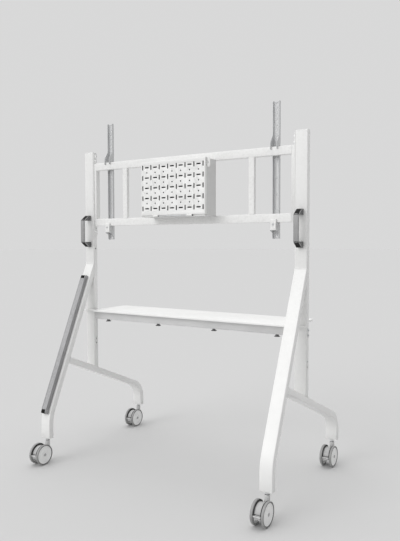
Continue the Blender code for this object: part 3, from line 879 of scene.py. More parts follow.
def bead(name, x_mid, centre, along, half, fat, seed):
    """A weld round a tube's end, in the joint's plane: full on the two inside
    corners, dressed nearly flush on the two sides."""
    centre, along = Vector(centre), Vector(along).normalized()
    normal = Vector((-along.y, along.x))
    corner = 3.2
    outline = rounded_rect(60.0, 2 * half, corner, 5)
    path = []
    for (a, b), (c, d) in zip(outline, outline[1:] + outline[:1]):
        length = math.hypot(c - a, d - b)
        count = max(1, int(length / 1.7))
        path += [(a + (c - a) * k / count, b + (d - b) * k / count) for k in range(count)]
    verts, faces = [], []
    sides = 8
    n = len(path)
    for k, (a, b) in enumerate(path):
        inside = max(0.0, min(1.0, (abs(b) - half + 4.0) / 4.0))
        radius = 0.75 + (fat - 0.75) * inside
        ripple = noise.noise(Vector((k * 0.55 + seed * 9.7, seed, 0.0)))
        radius *= 1.0 + 0.16 * inside * ripple + 0.07 * inside * math.sin(k * 2.1)
        ahead, behind = path[(k + 1) % n], path[k - 1]
        run = Vector((ahead[0] - behind[0], ahead[1] - behind[1])).normalized()
        out = Vector((run.y, -run.x))
        sink = 0.5 * (1 - inside) + 0.2 * inside
        for s in range(sides):
            angle = 2 * math.pi * s / sides
            o = radius * math.cos(angle) - sink
            h = radius * math.sin(angle)
            x = a + out.x * o
            t = b + out.y * o
            yz = centre + along * t + normal * h
            verts.append(Vector((x_mid + x, yz.x, yz.y)))
    for k in range(n):
        m = (k + 1) % n
        for s in range(sides):
            q = (s + 1) % sides
            faces.append((k * sides + s, k * sides + q, m * sides + q, m * sides + s))
    return piece(name, (verts, faces), WHITE, angle=60)


for side, sign in SIDES:
    x = sign * SIDE_X
    upright = tube(
        [(-15, 420), (-15, TOP_Z - CAP_T - GAP)],
        x,
        60,
        30,
        3.6,
        (foot_top_point, foot_up),
        ((-15, TOP_Z - CAP_T - GAP), (0, 1)),
        wall=2.0,
    )
    upright = carve(
        upright,
        [
            join(
                [
                    rod(4.4, x - 40, x + 40, (0, -15, z), "X", 28)
                    for z in SHELF_BOLTS_Z + SPARE_HOLE_Z[1:]
                ]
                + [
                    rod(4.4, *sorted((x, x - sign * 40)), (0, -15, z), "X", 28)
                    for z in LADDER_BOLTS_Z + SPARE_HOLE_Z[:1]
                ]
            )
        ],
    )
    piece(
        "upright_tube_" + side,
        upright,
        WHITE,
        nodes=["upright_" + side],
        bevel=0.45,
        origin=(x, -15, 1000),
    )
    cap = along_z(rounded_rect(60, 30, 3.6, 6, x, -15), TOP_Z - CAP_T, TOP_Z)
    cap = soften(cap, lambda a, b: min(a.z, b.z) > TOP_Z - 0.1, 1.3, 4)
    plug = along_z(rounded_rect(55.2, 25.2, 2.0, 4, x, -15), TOP_Z - 16, TOP_Z - CAP_T)
    piece(
        "upright_top_plug_" + side,
        join([cap, plug]),
        DISC,
        nodes=["upright_cap_" + side],
        origin=(x, -15, TOP_Z),
    )
    leg = tube(
        leg_path,
        x,
        60,
        30,
        3.6,
        ((GAP, 1000), (1, 0)),
        ((LEG_FOOT_Y, BOTTOM_Z), (0, 1)),
        wall=2.0,
    )
    piece(
        "rear_leg_tube_" + side,
        leg,
        WHITE,
        nodes=["rear_leg_" + side],
        bevel=0.5,
        origin=(x, LEG_FOOT_Y, BOTTOM_Z),
    )
    foot = tube(
        foot_path,
        x,
        60,
        30,
        3.6,
        (leg_front_point, leg_rear),
        ((FOOT_END_Y, BOTTOM_Z), (0, 1)),
        wall=2.0,
    )
    piece(
        "front_foot_tube_" + side,
        foot,
        WHITE,
        nodes=["front_foot_" + side],
        bevel=0.5,
        origin=(x, FOOT_END_Y, BOTTOM_Z),
    )
    for end, y in (("rear", LEG_FOOT_Y), ("front", FOOT_END_Y)):
        plate = along_z(rounded_rect(55.6, 25.6, 1.8, 4, x, y), 127.2, 131.2)
        plate = carve(plate, [rod(6.3, 120, 140, (x, y, 0), "Z", 28)])
        boss = turned(
            [(6.3, 130), (10.5, 130), (10.5, 142), (6.3, 142)], (x, y, 0), "Z", 28
        )
        piece(
            "end_plate_" + end + "_" + side,
            join([plate, boss]),
            WHITE,
            bevel=0.3,
        )
    top_z = (LEG_Y0 - GAP) / LEG_SLOPE
    bead(
        "weld_leg_top_" + side,
        x,
        (0.4, top_z),
        (0, 1),
        15.0 / math.sin(leg_angle),
        2.6,
        1 + sign,
    )
    mid = cross(
        Vector((190, foot_centre_z(190))), foot_back, leg_front_point, leg_rear
    )
    bead("weld_foot_" + side, x, mid, leg_down, 15.0, 2.4, 4 + sign)
    mid = cross(Vector((-15, 500)), Vector((0, 1)), foot_top_point, foot_up)
    bead(
        "weld_upright_foot_" + side,
        x,
        mid,
        foot_back,
        15.0 / math.cos(foot_angle),
        2.4,
        7 + sign,
    )

# ------------------------------------------------------------ ladder
RAIL_Y = (-35.0, -5.0)
RAIL_Z = {"top_rail": 1542.0, "bottom_rail": 1235.0}
POST_X = 584.7
POST_W = 16.7
STRUT_X = 382.0
mid_y = sum(RAIL_Y) / 2

for name, z in RAIL_Z.items():
    shape = along_x(
        rounded_rect(30, 40, 3.0, 6, mid_y, z + 20), GAP - POST_X, POST_X - GAP
    )
    piece(name + "_tube", shape, WHITE, nodes=[name])


def corner_weld(start, end, radius, seed, squash=1.0):
    """A short straight weld in an inside corner."""
    start, end = Vector(start), Vector(end)
    run = (end - start).normalized()
    u = Vector((0, 1, 0)) if abs(run.y) < 0.9 else Vector((1, 0, 0))
    u = (u - run * u.dot(run)).normalized()
    v = run.cross(u)
    count = max(6, int((end - start).length / 1.6))
    sides = 8
    verts, faces = [], []
    for k in range(count + 1):
        t = k / count
        fade = min(1.0, 0.35 + 8 * min(t, 1 - t))
        swell = noise.noise(Vector((k * 0.6, seed * 3.1, 0.0)))
        r = radius * fade * (1 + 0.15 * swell + 0.07 * math.sin(2.1 * k))
        for s in range(sides):
            a = 2 * math.pi * s / sides
            verts.append(
                start.lerp(end, t)
                + u * (r * math.cos(a))
                + v * (r * math.sin(a) * squash)
            )
    for k in range(count):
        for s in range(sides):
            q = (s + 1) % sides
            a, b = k * sides, (k + 1) * sides
            faces.append((a + s, a + q, b + q, b + s))
    faces.append(tuple(range(sides)))
    faces.append(tuple(range(count * sides, (count + 1) * sides)))
    return verts, faces


for side, sign in SIDES:
    inner, outer = sorted((sign * POST_X, sign * (POST_X + POST_W)))
    shape = tube(
        [(mid_y, 1235), (mid_y, 1582)],
        (inner + outer) / 2,
        POST_W,
        30,
        2.4,
        ((mid_y, 1235), (0, 1)),
        ((mid_y, 1582), (0, 1)),
        wall=2.0,
    )
    lids = [
        along_z(
            rounded_rect(POST_W - 4.4, 25.6, 0.8, 3, (inner + outer) / 2, mid_y),
            z,
            z + 1.5,
        )
        for z in (1235.6, 1579.9)
    ]
    piece(
        "end_post_tube_" + side,
        shape,
        WHITE,
        nodes=["end_post_" + side],
        bevel=0.4,
    )
    piece("end_post_lids_" + side, join(lids), DISC, bevel=0.3)
    shape = along_z(
        rounded_rect(30, 20, 2.6, 6, sign * STRUT_X, -15), 1275 + GAP, 1542 - GAP
    )
    piece(
        "strut_tube_" + side,
        shape,
        WHITE,
        nodes=["ladder_strut_" + side],
    )
    welds = []
    for k, z in enumerate((1275.0, 1542.0)):
        for j, dx in enumerate((-15.0, 15.0)):
            welds.append(
                corner_weld(
                    (sign * STRUT_X + dx, -23.5, z),
                    (sign * STRUT_X + dx, -6.5, z),
                    1.7,
                    k * 2 + j + sign,
                )
            )
        welds.append(
            corner_weld(
                (sign * STRUT_X - 14, -5.4, z),
                (sign * STRUT_X + 14, -5.4, z),
                0.75,
                k + 11 + sign,
            )
        )
    for k, (z0, z1) in enumerate(((1275.0, 1235.0), (1542.0, 1582.0))):
        face = sign * (POST_X - 0.15)
        welds.append(
            corner_weld(
                (face, mid_y - 13, z0), (face, mid_y + 13, z0), 1.8, k + 21 + sign
            )
        )
        low, high = sorted((z0, z1))
        welds.append(
            corner_weld(
                (face, -5.5, low + 2), (face, -5.5, high - 2), 0.8, k + 31 + sign
            )
        )
        welds.append(
            corner_weld(
                (face, -34.5, low + 2), (face, -34.5, high - 2), 0.8, k + 41 + sign
            )
        )
    piece("ladder_welds_" + side, join(welds), WHITE, angle=60)

    # plate between the end post and the upright, with its three bolts
    face = sign * 604.7
    lo, hi = sorted((face, face - sign * 3.0))
    plate = along_x(rounded_rect(28, 455, 4.0, 6, -15, 1411.5), lo, hi)
    piece(
        "fixing_plate_" + side,
        plate,
        WHITE,
        nodes=["ladder_fixing_" + side],
        bevel=0.5,
    )
    heads = [
        dome_head(face - sign * 3.0, -15, z, "X", -sign, 6.1, 9.3, 5.0, 3.4, 0.2)
        for z in LADDER_BOLTS_Z
    ]
    shanks = [rod(4.0, -sign * 0.5, sign * 15, (face, -15, z), "X", 24) for z in LADDER_BOLTS_Z]
    piece(
        "fixing_bolts_" + side,
        join(heads + shanks),
        DISC,
        bevel=0.2,
    )

# ------------------------------------------------------------ shelf
SHELF_Z = 757.0
KNOB_X = (-514.0, -171.0, 171.0, 514.0)
half = [(600, -262), (600, 1), (663, 1), (663, 22)]
plan = half + [(-a, b) for a, b in reversed(half)]
plan = fillet(plan, [28, 1.5, 2, 8, 8, 2, 1.5, 28], 14)
panel = along_z(plan, SHELF_Z, SHELF_Z + 10)
piece(
    "shelf_board",
    panel,
    SHEET,
    nodes=["shelf_panel"],
    bevel=1.6,
    segments=4,
    angle=50,
)
beam_z = 716.7
beam_end = 604.7
beam = along_x(
    rounded_rect(30, 40, 3.0, 6, -15, beam_z + 20), -beam_end, beam_end
)
# the beam's greyer coat is painted shade from the shelf above it
piece(
    "shelf_beam_tube",
    beam,
    SHADED_BEAM_COAT,
    nodes=["shelf_beam"],
    bevel=0.4,
    angle=60,
)
for number, x in enumerate(KNOB_X, 1):
    top = beam_z - GAP
    profile = smooth_profile(
        [
            (0, top),
            (7.4, top),
            (7.6, top - 3.4),
            (9.0, top - 6.6),
            (14.2, top - 9.0),
            (14.2, top - 11.2),
            (9.0, top - 12.0),
            (0, top - 12.0),
        ],
        [0, 0.6, 2.0, 3.0, 1.0, 1.2, 2.0, 0],
        4,
    )
    knob = turned(profile, (x, -15, 0), "Z", 40)
    corner = circle(0, 0, 3.5, 6, 0)
    knob = carve(
        knob,
        [prism(corner, 4.0, (x, -15, top - 13), (1, 0, 0), (0, 1, 0), (0, 0, 1))],
    )
    piece(
        "shelf_dome_screw_" + str(number),
        knob,
        DARK,
        nodes=["shelf_screw_" + str(number)],
        bevel=0.25,
    )
for side, sign in SIDES:
    face = sign * 665.3
    lo, hi = sorted((face, face + sign * 1.5))
    strip = along_x(
        rounded_rect(16, 39, 5.0, 6, -15, sum(SHELF_BOLTS_Z) / 2), lo, hi
    )
    piece(
        "shelf_bolt_strip_" + side,
        strip,
        WHITE,
        nodes=["shelf_bolts_" + side],
        bevel=0.4,
    )
    heads = [
        dome_head(face + sign * 1.5, -15, z, "X", sign, 6.1, 4.0, 4.0, 2.2)
        for z in SHELF_BOLTS_Z
    ]
    shanks = [
        rod(3.8, -sign * 66, sign * 1.6, (face, -15, z), "X", 24) for z in SHELF_BOLTS_Z
    ]
    piece(
        "shelf_bolt_heads_" + side,
        join(heads + shanks),
        STEEL,
        bevel=0.2,
    )

# ------------------------------------------------------------ hook arms, locks
ARM_X = 500.0
ARM_BOTTOM_Z = 1160.0
ARM_TOP_Z = 1793.0
web_back = -35.3
web_front = -38.3
rail_top = 1582.5
arm_outline = [
    ((web_front, ARM_TOP_Z), 0.6),
    ((-23.0, ARM_TOP_Z), 4.0),
    ((-23.0, 1640), 12.0),
    ((4, 1600), 9.0),
    ((4, 1570), 3.0),
    ((-4.5, 1570), 1.5),
    ((-4.5, rail_top), 2.6),
    ((web_back, rail_top), 1.2),
    ((web_back, 1541.5), 0),
    ((-23.0, 1541.5), 3.0),
    ((-23.0, 1275.5), 3.0),
    ((web_back, 1275.5), 0),
    ((web_back, 1234.5), 1.2),
    ((0, 1234.5), 2.0),
    ((0, 1197), 6.0),
    ((-23.0, 1187), 5.0),
    ((-23.0, 1165), 2.5),
    ((-28, ARM_BOTTOM_Z), 2.0),
    ((web_front, ARM_BOTTOM_Z), 0.6),
]
arm_points = fillet([p for p, _ in arm_outline], [r for _, r in arm_outline], 5)
ARM_SLOTS = ((1447.0, 1514.0), (1371.0, 1439.0), (1297.0, 1363.0))
for side, sign in SIDES:
    x = sign * ARM_X
    solid = along_x(arm_points, x - 17.5, x + 17.5)
    outer = along_z(
        fillet(
            [(x - 17.5, web_front), (x + 17.5, web_front), (x + 17.5, 30), (x - 17.5, 30)],
            [3.4, 3.4, 0, 0],
            6,
        ),
        1100,
        1850,
    )
    inner = along_z(
        fillet(
            [(x - 15.0, web_back), (x + 15.0, web_back), (x + 15.0, 60), (x - 15.0, 60)],
            [1.2, 1.2, 0, 0],
            4,
        ),
        1050,
        1900,
    )
    holes = [
        rod(4.2, web_front - 3, web_back + 3, (x, 0, 1780.0 - 25.4 * i), "Y", 28)
        for i in range(7)
    ]
    holes.append(rod(4.2, web_front - 3, web_back + 3, (x, 0, 1170.6), "Y", 28))
    holes += [
        along_y(
            stadium(x, (z0 + z1) / 2, z1 - z0, 6.4, True, 8), web_front - 3, web_back + 3
        )
        for z0, z1 in ARM_SLOTS
    ]
    shape = carve(solid, [outer], "INTERSECT")
    shape = carve(shape, [inner, join(holes)])
    piece(
        "hook_arm_channel_" + side,
        shape,
        ARM,
        body="arm_" + side,
        nodes=["hook_arm_" + side],
        bevel=0.35,
        origin=(x, web_back, 1235),
    )
    lock_points = fillet(
        [
            (-30, 1199),
            (5.5, 1199),
            (5.5, 1250),
            (-4.5, 1250),
            (-4.5, 1234.3),
            (-30, 1234.3),
        ],
        [1.0, 3.0, 4.0, 2.0, 1.0, 1.0],
        5,
    )
    lock = along_x(lock_points, x - 13.5, x + 13.5)
    lock = carve(
        lock,
        [
            block(x - 11.5, x + 11.5, -40, 2.5, 1201, 1248),
            rod(3.4, -2, 10, (x, 0, 1226), "Y", 24),
        ],
    )
    piece(
        "lock_slider_" + side,
        lock,
        WHITE,
        body="lock_" + side,
        nodes=["arm_lock_" + side],
        bevel=0.7,
        segments=3,
        origin=(x, 0, 1235),
    )
    head = dome_head(x, 5.8, 1226, "Y", 1, 5.4, 3.0, 3.0, 1.8)
    shank = rod(3.0, -12, 6.0, (x, 0, 1226), "Y", 24)
    piece(
        "lock_screw_" + side,
        join([head, shank]),
        STEEL,
        body="lock_" + side,
        nodes=["arm_lock_screw_" + side],
        bevel=0.15,
        origin=(x, 5.8, 1226),
    )

# ------------------------------------------------------------ device box
BOX_X = 189.2
BOX_Z = (1270.0, 1546.0)
BOX_REAR_Y = 93.0
BOX_FRONT_Y = -4.7
SHEET_T = 1.5
DOOR_X = 191.0
DOOR_Z = (1279.0, 1548.0)
DOOR_REAR_Y = 98.5
HINGE = (99.0, 1275.0)
HINGE_X = 101.0
PITCH = 51.3
SLOT_TOP_Z = 1518.3
SLOT_W = 6.5

mid_z = sum(BOX_Z) / 2
high_z = BOX_Z[1] - BOX_Z[0]
box_shape = along_y(
    rounded_rect(2 * BOX_X, high_z, 2.2, 5, 0, mid_z), BOX_FRONT_Y, BOX_REAR_Y
)
box_shape = carve(
    box_shape,
    [
        along_y(
            rounded_rect(2 * (BOX_X - SHEET_T), high_z - 2 * SHEET_T, 1.0, 4, 0, mid_z),
            BOX_FRONT_Y + SHEET_T,
            BOX_REAR_Y + 5,
        )
    ],
)
# the shell's greyer coat is painted shade
piece(
    "box_shell",
    box_shape,
    PAINTED_SHADE_BOX_SHEET,
    nodes=["box_body"],
    bevel=0.4,
)
# painted shade: a dark sheet lining the box stands in for the shade seen through the perforations. Below it, the lip
# that the door's lower edge closes over
shade_sheet = along_y(
    rounded_rect(2 * (BOX_X - SHEET_T) - 0.6, high_z - 2 * SHEET_T - 0.6, 1.0, 4, 0, mid_z),
    BOX_FRONT_Y + SHEET_T + 0.3,
    90.6,
)
shade_sheet = carve(
    shade_sheet,
    [
        along_y(
            rounded_rect(
                2 * (BOX_X - SHEET_T) - 3.0, high_z - 2 * SHEET_T - 3.0, 1.0, 4, 0, mid_z
            ),
            BOX_FRONT_Y + SHEET_T + 1.5,
            95.0,
        )
    ],
)
piece("box_painted_shade_sheet", shade_sheet, DEEP_MATT_AND_SHADE, bevel=0.2)
sill = along_x(
    fillet(
        [(89.6, 1271.2), (92.6, 1271.2), (92.6, 1286.0), (91.2, 1286.0), (91.2, 1272.6), (89.6, 1272.6)],
        [0.2, 0.8, 0.4, 0.4, 0.4, 0.2],
        4,
    ),
    1.8 - BOX_X,
    BOX_X - 1.8,
)
piece("box_sill", sill, SHEET)
lug = along_y(
    fillet([(-209, 1501), (-187.9, 1501), (-187.9, 1552), (-209, 1552)], [9, 0, 0, 9], 8),
    81,
    83,
)
lug = carve(lug, [rod(3.6, 78, 86, (-199, 0, 1524), "Y", 28)])
piece("box_hasp_lug", lug, SHEET, bevel=0.35)
ear = (
    [(90.5, BOX_Z[0] + 0.7)] + arc(*HINGE, 3.6, -90, 90, 10) + [(90.5, HINGE[1] + 3.2)]
)
ears = []
for sign in (-1, 1):
    for offset in (-15.2, 15.2):
        middle = sign * HINGE_X + offset
        ears.append(along_x(ear, middle - 1.5, middle + 1.5))
piece("box_hinge_ears", join(ears), SHEET, bevel=0.3)

door = block(-DOOR_X, DOOR_X, 85.0, DOOR_REAR_Y, *DOOR_Z)
door = soften(
    door,
    lambda a, b: (
        (min(a.y, b.y) > DOOR_REAR_Y - 0.1 and min(a.z, b.z) > DOOR_Z[0] - 1)
        and not (max(a.z, b.z) < DOOR_Z[0] + 1)
    )
    or (abs(a.y - b.y) > 5 and min(a.z, b.z) > DOOR_Z[1] - 1),
    2.2,
    5,
)
door = carve(
    door,
    [
        block(
            SHEET_T - DOOR_X,
            DOOR_X - SHEET_T,
            50,
            DOOR_REAR_Y - SHEET_T,
            DOOR_Z[0] - 5,
            DOOR_Z[1] - SHEET_T,
        )
    ],
)
cells = []
for row in range(5):
    z = SLOT_TOP_Z - PITCH * row
    for column in range(8):
        cells.append(along_y(stadium(PITCH * (column - 3.5), z, 25, SLOT_W, True), 94, 101))
    for column in range(7):
        cells.append(along_y(stadium(PITCH * (column - 3), z, 25, SLOT_W, False), 94, 101))
        if row < 4:
            cells.append(
                rod(3.6, 94, 101, (PITCH * (column - 3), 0, z - PITCH / 2), "Y", 20)
            )
door = carve(door, [join(cells)])
piece(
    "box_door_panel",
    door,
    SHEET,
    body="door",
    nodes=["box_door"],
    bevel=0.3,
    origin=(0, *HINGE),
)
knuckle = [
    (DOOR_REAR_Y - SHEET_T + 0.3, 1285),
    (DOOR_REAR_Y - 0.3, 1285),
    (DOOR_REAR_Y - 0.3, 1280.4),
] + arc(*HINGE, 4.0, 52, -180, 15)
knuckle.append((DOOR_REAR_Y - SHEET_T + 0.3, 1280))
knuckles = join(
    [along_x(knuckle, s * HINGE_X - 13, s * HINGE_X + 13) for s in (-1, 1)]
)
knuckles = carve(knuckles, [rod(2.4, -130, 130, (0, *HINGE), "X", 20)])
piece(
    "box_door_knuckles",
    knuckles,
    SHEET,
    body="door",
    bevel=0.3,
    origin=(0, *HINGE),
)
pin = turned(
    smooth_profile(
        [
            (0, -118.6),
            (2.0, -118.6),
            (2.0, 118.3),
            (3.4, 118.3),
            (3.4, 120),
            (0, 120),
        ],
        [0, 0, 0, 0.3, 0.6, 0],
        3,
    ),
    (0, *HINGE),
    "X",
    24,
)
piece(
    "box_hinge_rod_turned",
    pin,
    STEEL,
    nodes=["box_hinge_rod"],
    origin=(0, *HINGE),
)
heads = [
    turned(
        smooth_profile([(0, a), (4.0, a), (4.0, b), (0, b)], [0, 0.8, 0.3, 0], 4),
        (0, *HINGE),
        "X",
        28,
    )
    for a, b in ((-120.6, -117.9), (81.4, 84.1))
]
piece(
    "box_hinge_rod_heads",
    join(heads),
    PIN,
    origin=(0, *HINGE),
)

# ------------------------------------------------------------ handles
HANDLE_Z = (1119.0, 1293.0)
GRIP_Z = (1147.0, 1265.0)
slant_low = Vector((20.0, HANDLE_Z[0]))
slant_high = Vector((59.0, 1146.7))
slant = (slant_high - slant_low).normalized()
slant_out = Vector((slant.y, -slant.x))
slant_length = (slant_high - slant_low).length


def slant_strip(start, end, outer, inner):
    """A strip along the bracket's slanted face, measured outwards from it."""
    corners_2d = [
        slant_low + slant * start + slant_out * outer,
        slant_low + slant * end + slant_out * outer,
        slant_low + slant * end + slant_out * inner,
        slant_low + slant * start + slant_out * inner,
    ]
    return [(c.x, c.y) for c in corners_2d]


for side, sign in SIDES:
    x = sign * SIDE_X
    low, high = HANDLE_Z
    shapes, shade_panels, highlight_trims = [], [], []
    for flip in (False, True):

        def up(outline):
            return [(a, low + high - b) for a, b in outline] if flip else outline

        outline = fillet(
            [(GAP, low), (20, low), (59, 1146.7), (GAP, 1146.7)],
            [1.5, 7.0, 4.0, 2.0],
            6,
        )
        bracket = along_x(up(outline), x - 12.5, x + 12.5)
        slots = [along_x(up(slant_strip(2.6, slant_length - 2, 4, -1.3)), x - 11.0, x + 11.0)]
        for a, b in ((-14, -12.1), (12.1, 14)):
            slots.append(
                along_x(up(slant_strip(3.5, slant_length - 4, -1.4, -4.6)), x + a, x + b)
            )
        shapes.append(carve(bracket, [join(slots)]))
        # painted shade: a black strip on each slanted face stands in for that face's shade
        shade_panels.append(
            along_x(
                up(slant_strip(2.8, slant_length - 2.2, -0.1, -1.3)), x - 10.8, x + 10.8
            )
        )
        # painted highlight: thin pale strips along the slanted faces' edges stand in for the light caught by their
        # rounding
        for a, b in ((-12.4, -12.1), (12.1, 12.4)):
            highlight_trims.append(
                along_x(
                    up(slant_strip(3.8, slant_length - 4.3, -1.7, -4.3)), x + a, x + b
                )
            )
    core = along_z(rounded_rect(16, 5, 1.0, 4, x, 53.5), 1141, 1271)
    piece(
        "handle_brackets_" + side,
        join(shapes + [core]),
        BRACKET,
        nodes=["handle_frame_" + side],
        bevel=1.2,
        segments=3,
        angle=50,
        origin=(x, 0, low),
    )
    # painted shade strips on the slanted faces
    piece(
        "handle_slant_painted_shade_panels_" + side,
        join(shade_panels),
        DEEP_MATT_AND_SHADE,
        bevel=0.4,
        origin=(x, 0, low),
    )
    # painted highlight strips along the slanted edges
    piece(
        "handle_painted_highlight_trims_" + side,
        join(highlight_trims),
        PALE_AND_HIGHLIGHT,
        bevel=0.12,
        origin=(x, 0, low),
    )
    grip = along_z(rounded_rect(25, 11, 4.2, 8, x, 53.5), *GRIP_Z)
    piece(
        "handle_bar_" + side,
        grip,
        GRIP,
        nodes=["handle_grip_" + side],
        bevel=0.6,
        segments=3,
        angle=60,
        origin=(x, 53.5, GRIP_Z[0]),
    )

# ------------------------------------------------------------ cable cover
COVER_W = 34.0
COVER_D = 25.0
COVER_TOP_Z = 955.0
COVER_L = 770.0
COVER_END_L = 20.0
cover_top = Vector((leg_centre_y(COVER_TOP_Z), COVER_TOP_Z)) + leg_rear * 15
cover_top += leg_down * ((cover_top.y - COVER_TOP_Z) / math.cos(leg_angle))


def cover_prism(outline, start, end):
    place = cover_top + leg_down * start
    return prism(
        outline,
        end - start,
        (SIDE_X, place.x, place.y),
        (1, 0, 0),
        (0, leg_rear.x, leg_rear.y),
        (0, leg_down.x, leg_down.y),
    )


hw = COVER_W / 2
outside = fillet(
    [(-hw, GAP), (-hw, COVER_D), (hw, COVER_D), (hw, GAP)], [0, 4.0, 4.0, 0], 8
)
inside = fillet(
    [
        (hw - 2.6, GAP),
        (hw - 2.6, COVER_D - 2.6),
        (2.6 - hw, COVER_D - 2.6),
        (2.6 - hw, GAP),
    ],
    [0, 1.6, 1.6, 0],
    4,
)
cover_shape = cover_prism(outside + inside, COVER_END_L + GAP, COVER_L - COVER_END_L - GAP)
grooves = [
    cover_prism(
        [(s - 0.6, COVER_D - 0.6), (s + 0.6, COVER_D - 0.6), (s + 0.6, COVER_D + 1), (s - 0.6, COVER_D + 1)],
        COVER_END_L - 5,
        COVER_L - COVER_END_L + 5,
    )
    for s in (-9.5, 9.5)
]
grooves += [
    cover_prism(
        [
            (s * hw - s * 0.5, 6.0),
            (s * hw - s * 0.5, 7.2),
            (s * hw + s * 2, 7.2),
            (s * hw + s * 2, 6.0),
        ],
        COVER_END_L - 5,
        COVER_L - COVER_END_L + 5,
    )
    for s in (-1, 1)
]
cover_shape = carve(cover_shape, [join(grooves)])
piece(
    "cable_cover_extrusion",
    cover_shape,
    COVER,
    nodes=["cable_cover"],
    bevel=0.3,
)


def nose_cutter(outer_end, way, radius):
    """Rounds an end piece's rear edge over towards its tip."""
    points = [
        (outer_end - way * 2, COVER_D + 3),
        (outer_end - way * 2, COVER_D - radius),
        (outer_end, COVER_D - radius),
    ]
    points += [
        (
            outer_end + way * radius * (1 - math.cos(math.radians(a))),
            COVER_D - radius + radius * math.sin(math.radians(a)),
        )
        for a in range(9, 91, 9)
    ]
    points.append((outer_end + way * radius, COVER_D + 3))
    outline = []
    for t, d in points:
        p = cover_top + leg_down * t + leg_rear * d
        outline.append((p.x, p.y))
    return along_x(outline, SIDE_X - 30, SIDE_X + 30)


def cover_end(end, outer_end, inner_end):
    """A black plug on the outer side and the cover's own wall on the other."""
    lo, hi = sorted((outer_end, inner_end))
    way = 1 if outer_end < inner_end else -1
    plug = fillet(
        [(-4.2, 0.4), (-4.2, COVER_D - 1.6), (16.6, COVER_D - 1.6), (16.6, 0.4)],
        [0, 2.0, 4.0, 0],
        6,
    )
    body = carve(cover_prism(plug, lo, hi), [nose_cutter(outer_end + way * 1.0, way, 9)])
    mouth = fillet(
        [(0.4, 3.5), (0.4, COVER_D - 5.5), (12.6, COVER_D - 5.5), (12.6, 3.5)], 2.2, 4
    )
    body = carve(
        body,
        [cover_prism(mouth, *sorted((outer_end - way * 3, outer_end + way * 13)))],
    )
    piece(
        "cable_cover_plug_" + end,
        body,
        DEEP_MATT_AND_SHADE,
        nodes=["cable_cover_" + end + "_end"],
        bevel=0.5,
    )
    wall = fillet(
        [(-hw, GAP), (-hw, COVER_D), (2.6 - hw + 2.0, COVER_D), (2.6 - hw + 2.0, GAP)],
        [0, 3.8, 0.6, 0],
        8,
    )
    body = carve(cover_prism(wall, lo, hi), [nose_cutter(outer_end, way, 11)])
    piece(
        "cable_cover_tongue_" + end,
        body,
        COVER,
        bevel=0.4,
    )


cover_end("top", 0.0, COVER_END_L)
cover_end("bottom", COVER_L, COVER_L - COVER_END_L)

# ------------------------------------------------------------ casters
TRAIL = 47.0
WHEEL_R = 52.0
HOOD_HALF = 16.9
FLANGE_R = 51.0
corners = (
    ("front_left", -SIDE_X, FOOT_END_Y),
    ("front_right", SIDE_X, FOOT_END_Y),
    ("rear_left", -SIDE_X, LEG_FOOT_Y),
    ("rear_right", SIDE_X, LEG_FOOT_Y),
)


def sector(cu, cv, r0, r1, start, end, steps):
    return arc(cu, cv, r1, start, end, steps) + arc(cu, cv, r0, end, start, steps)


# the hood between the wheels: slightly crowned, its section turned about the
# axle and then cut to the side view
crown = [(0.0, -HOOD_HALF)]
crown += [
    (41.2 + 1.7 * (1 - abs(t / 12) ** 5) ** 0.5, HOOD_HALF * t / 12)
    for t in range(-12, 13)
]
crown += [(0.0, HOOD_HALF)]
hood_side = fillet(
    [
        (-20, 60),
        (-6.2, 64.5),
        (5.0, 50.6),
        (36.0, 39.0),
        (47.0, 36.6),
        (56.6, 39.0),
        (62.0, 46.2),
        (62.0, 57.6),
        (94.0, 61.4),
        (120, 64),
        (120, 130),
        (-20, 130),
    ],
    [0, 2, 9, 10, 12, 6, 5, 3, 0, 0, 0, 0],
    5,
)
saddle = fillet(
    [(-7.4, 66.4), (4.6, 51.0), (22.0, 44.8), (22.0, 84.0), (13.0, 77.0), (5.5, 68.0)],
    [2.5, 8, 0, 0, 3, 3],
    5,
)


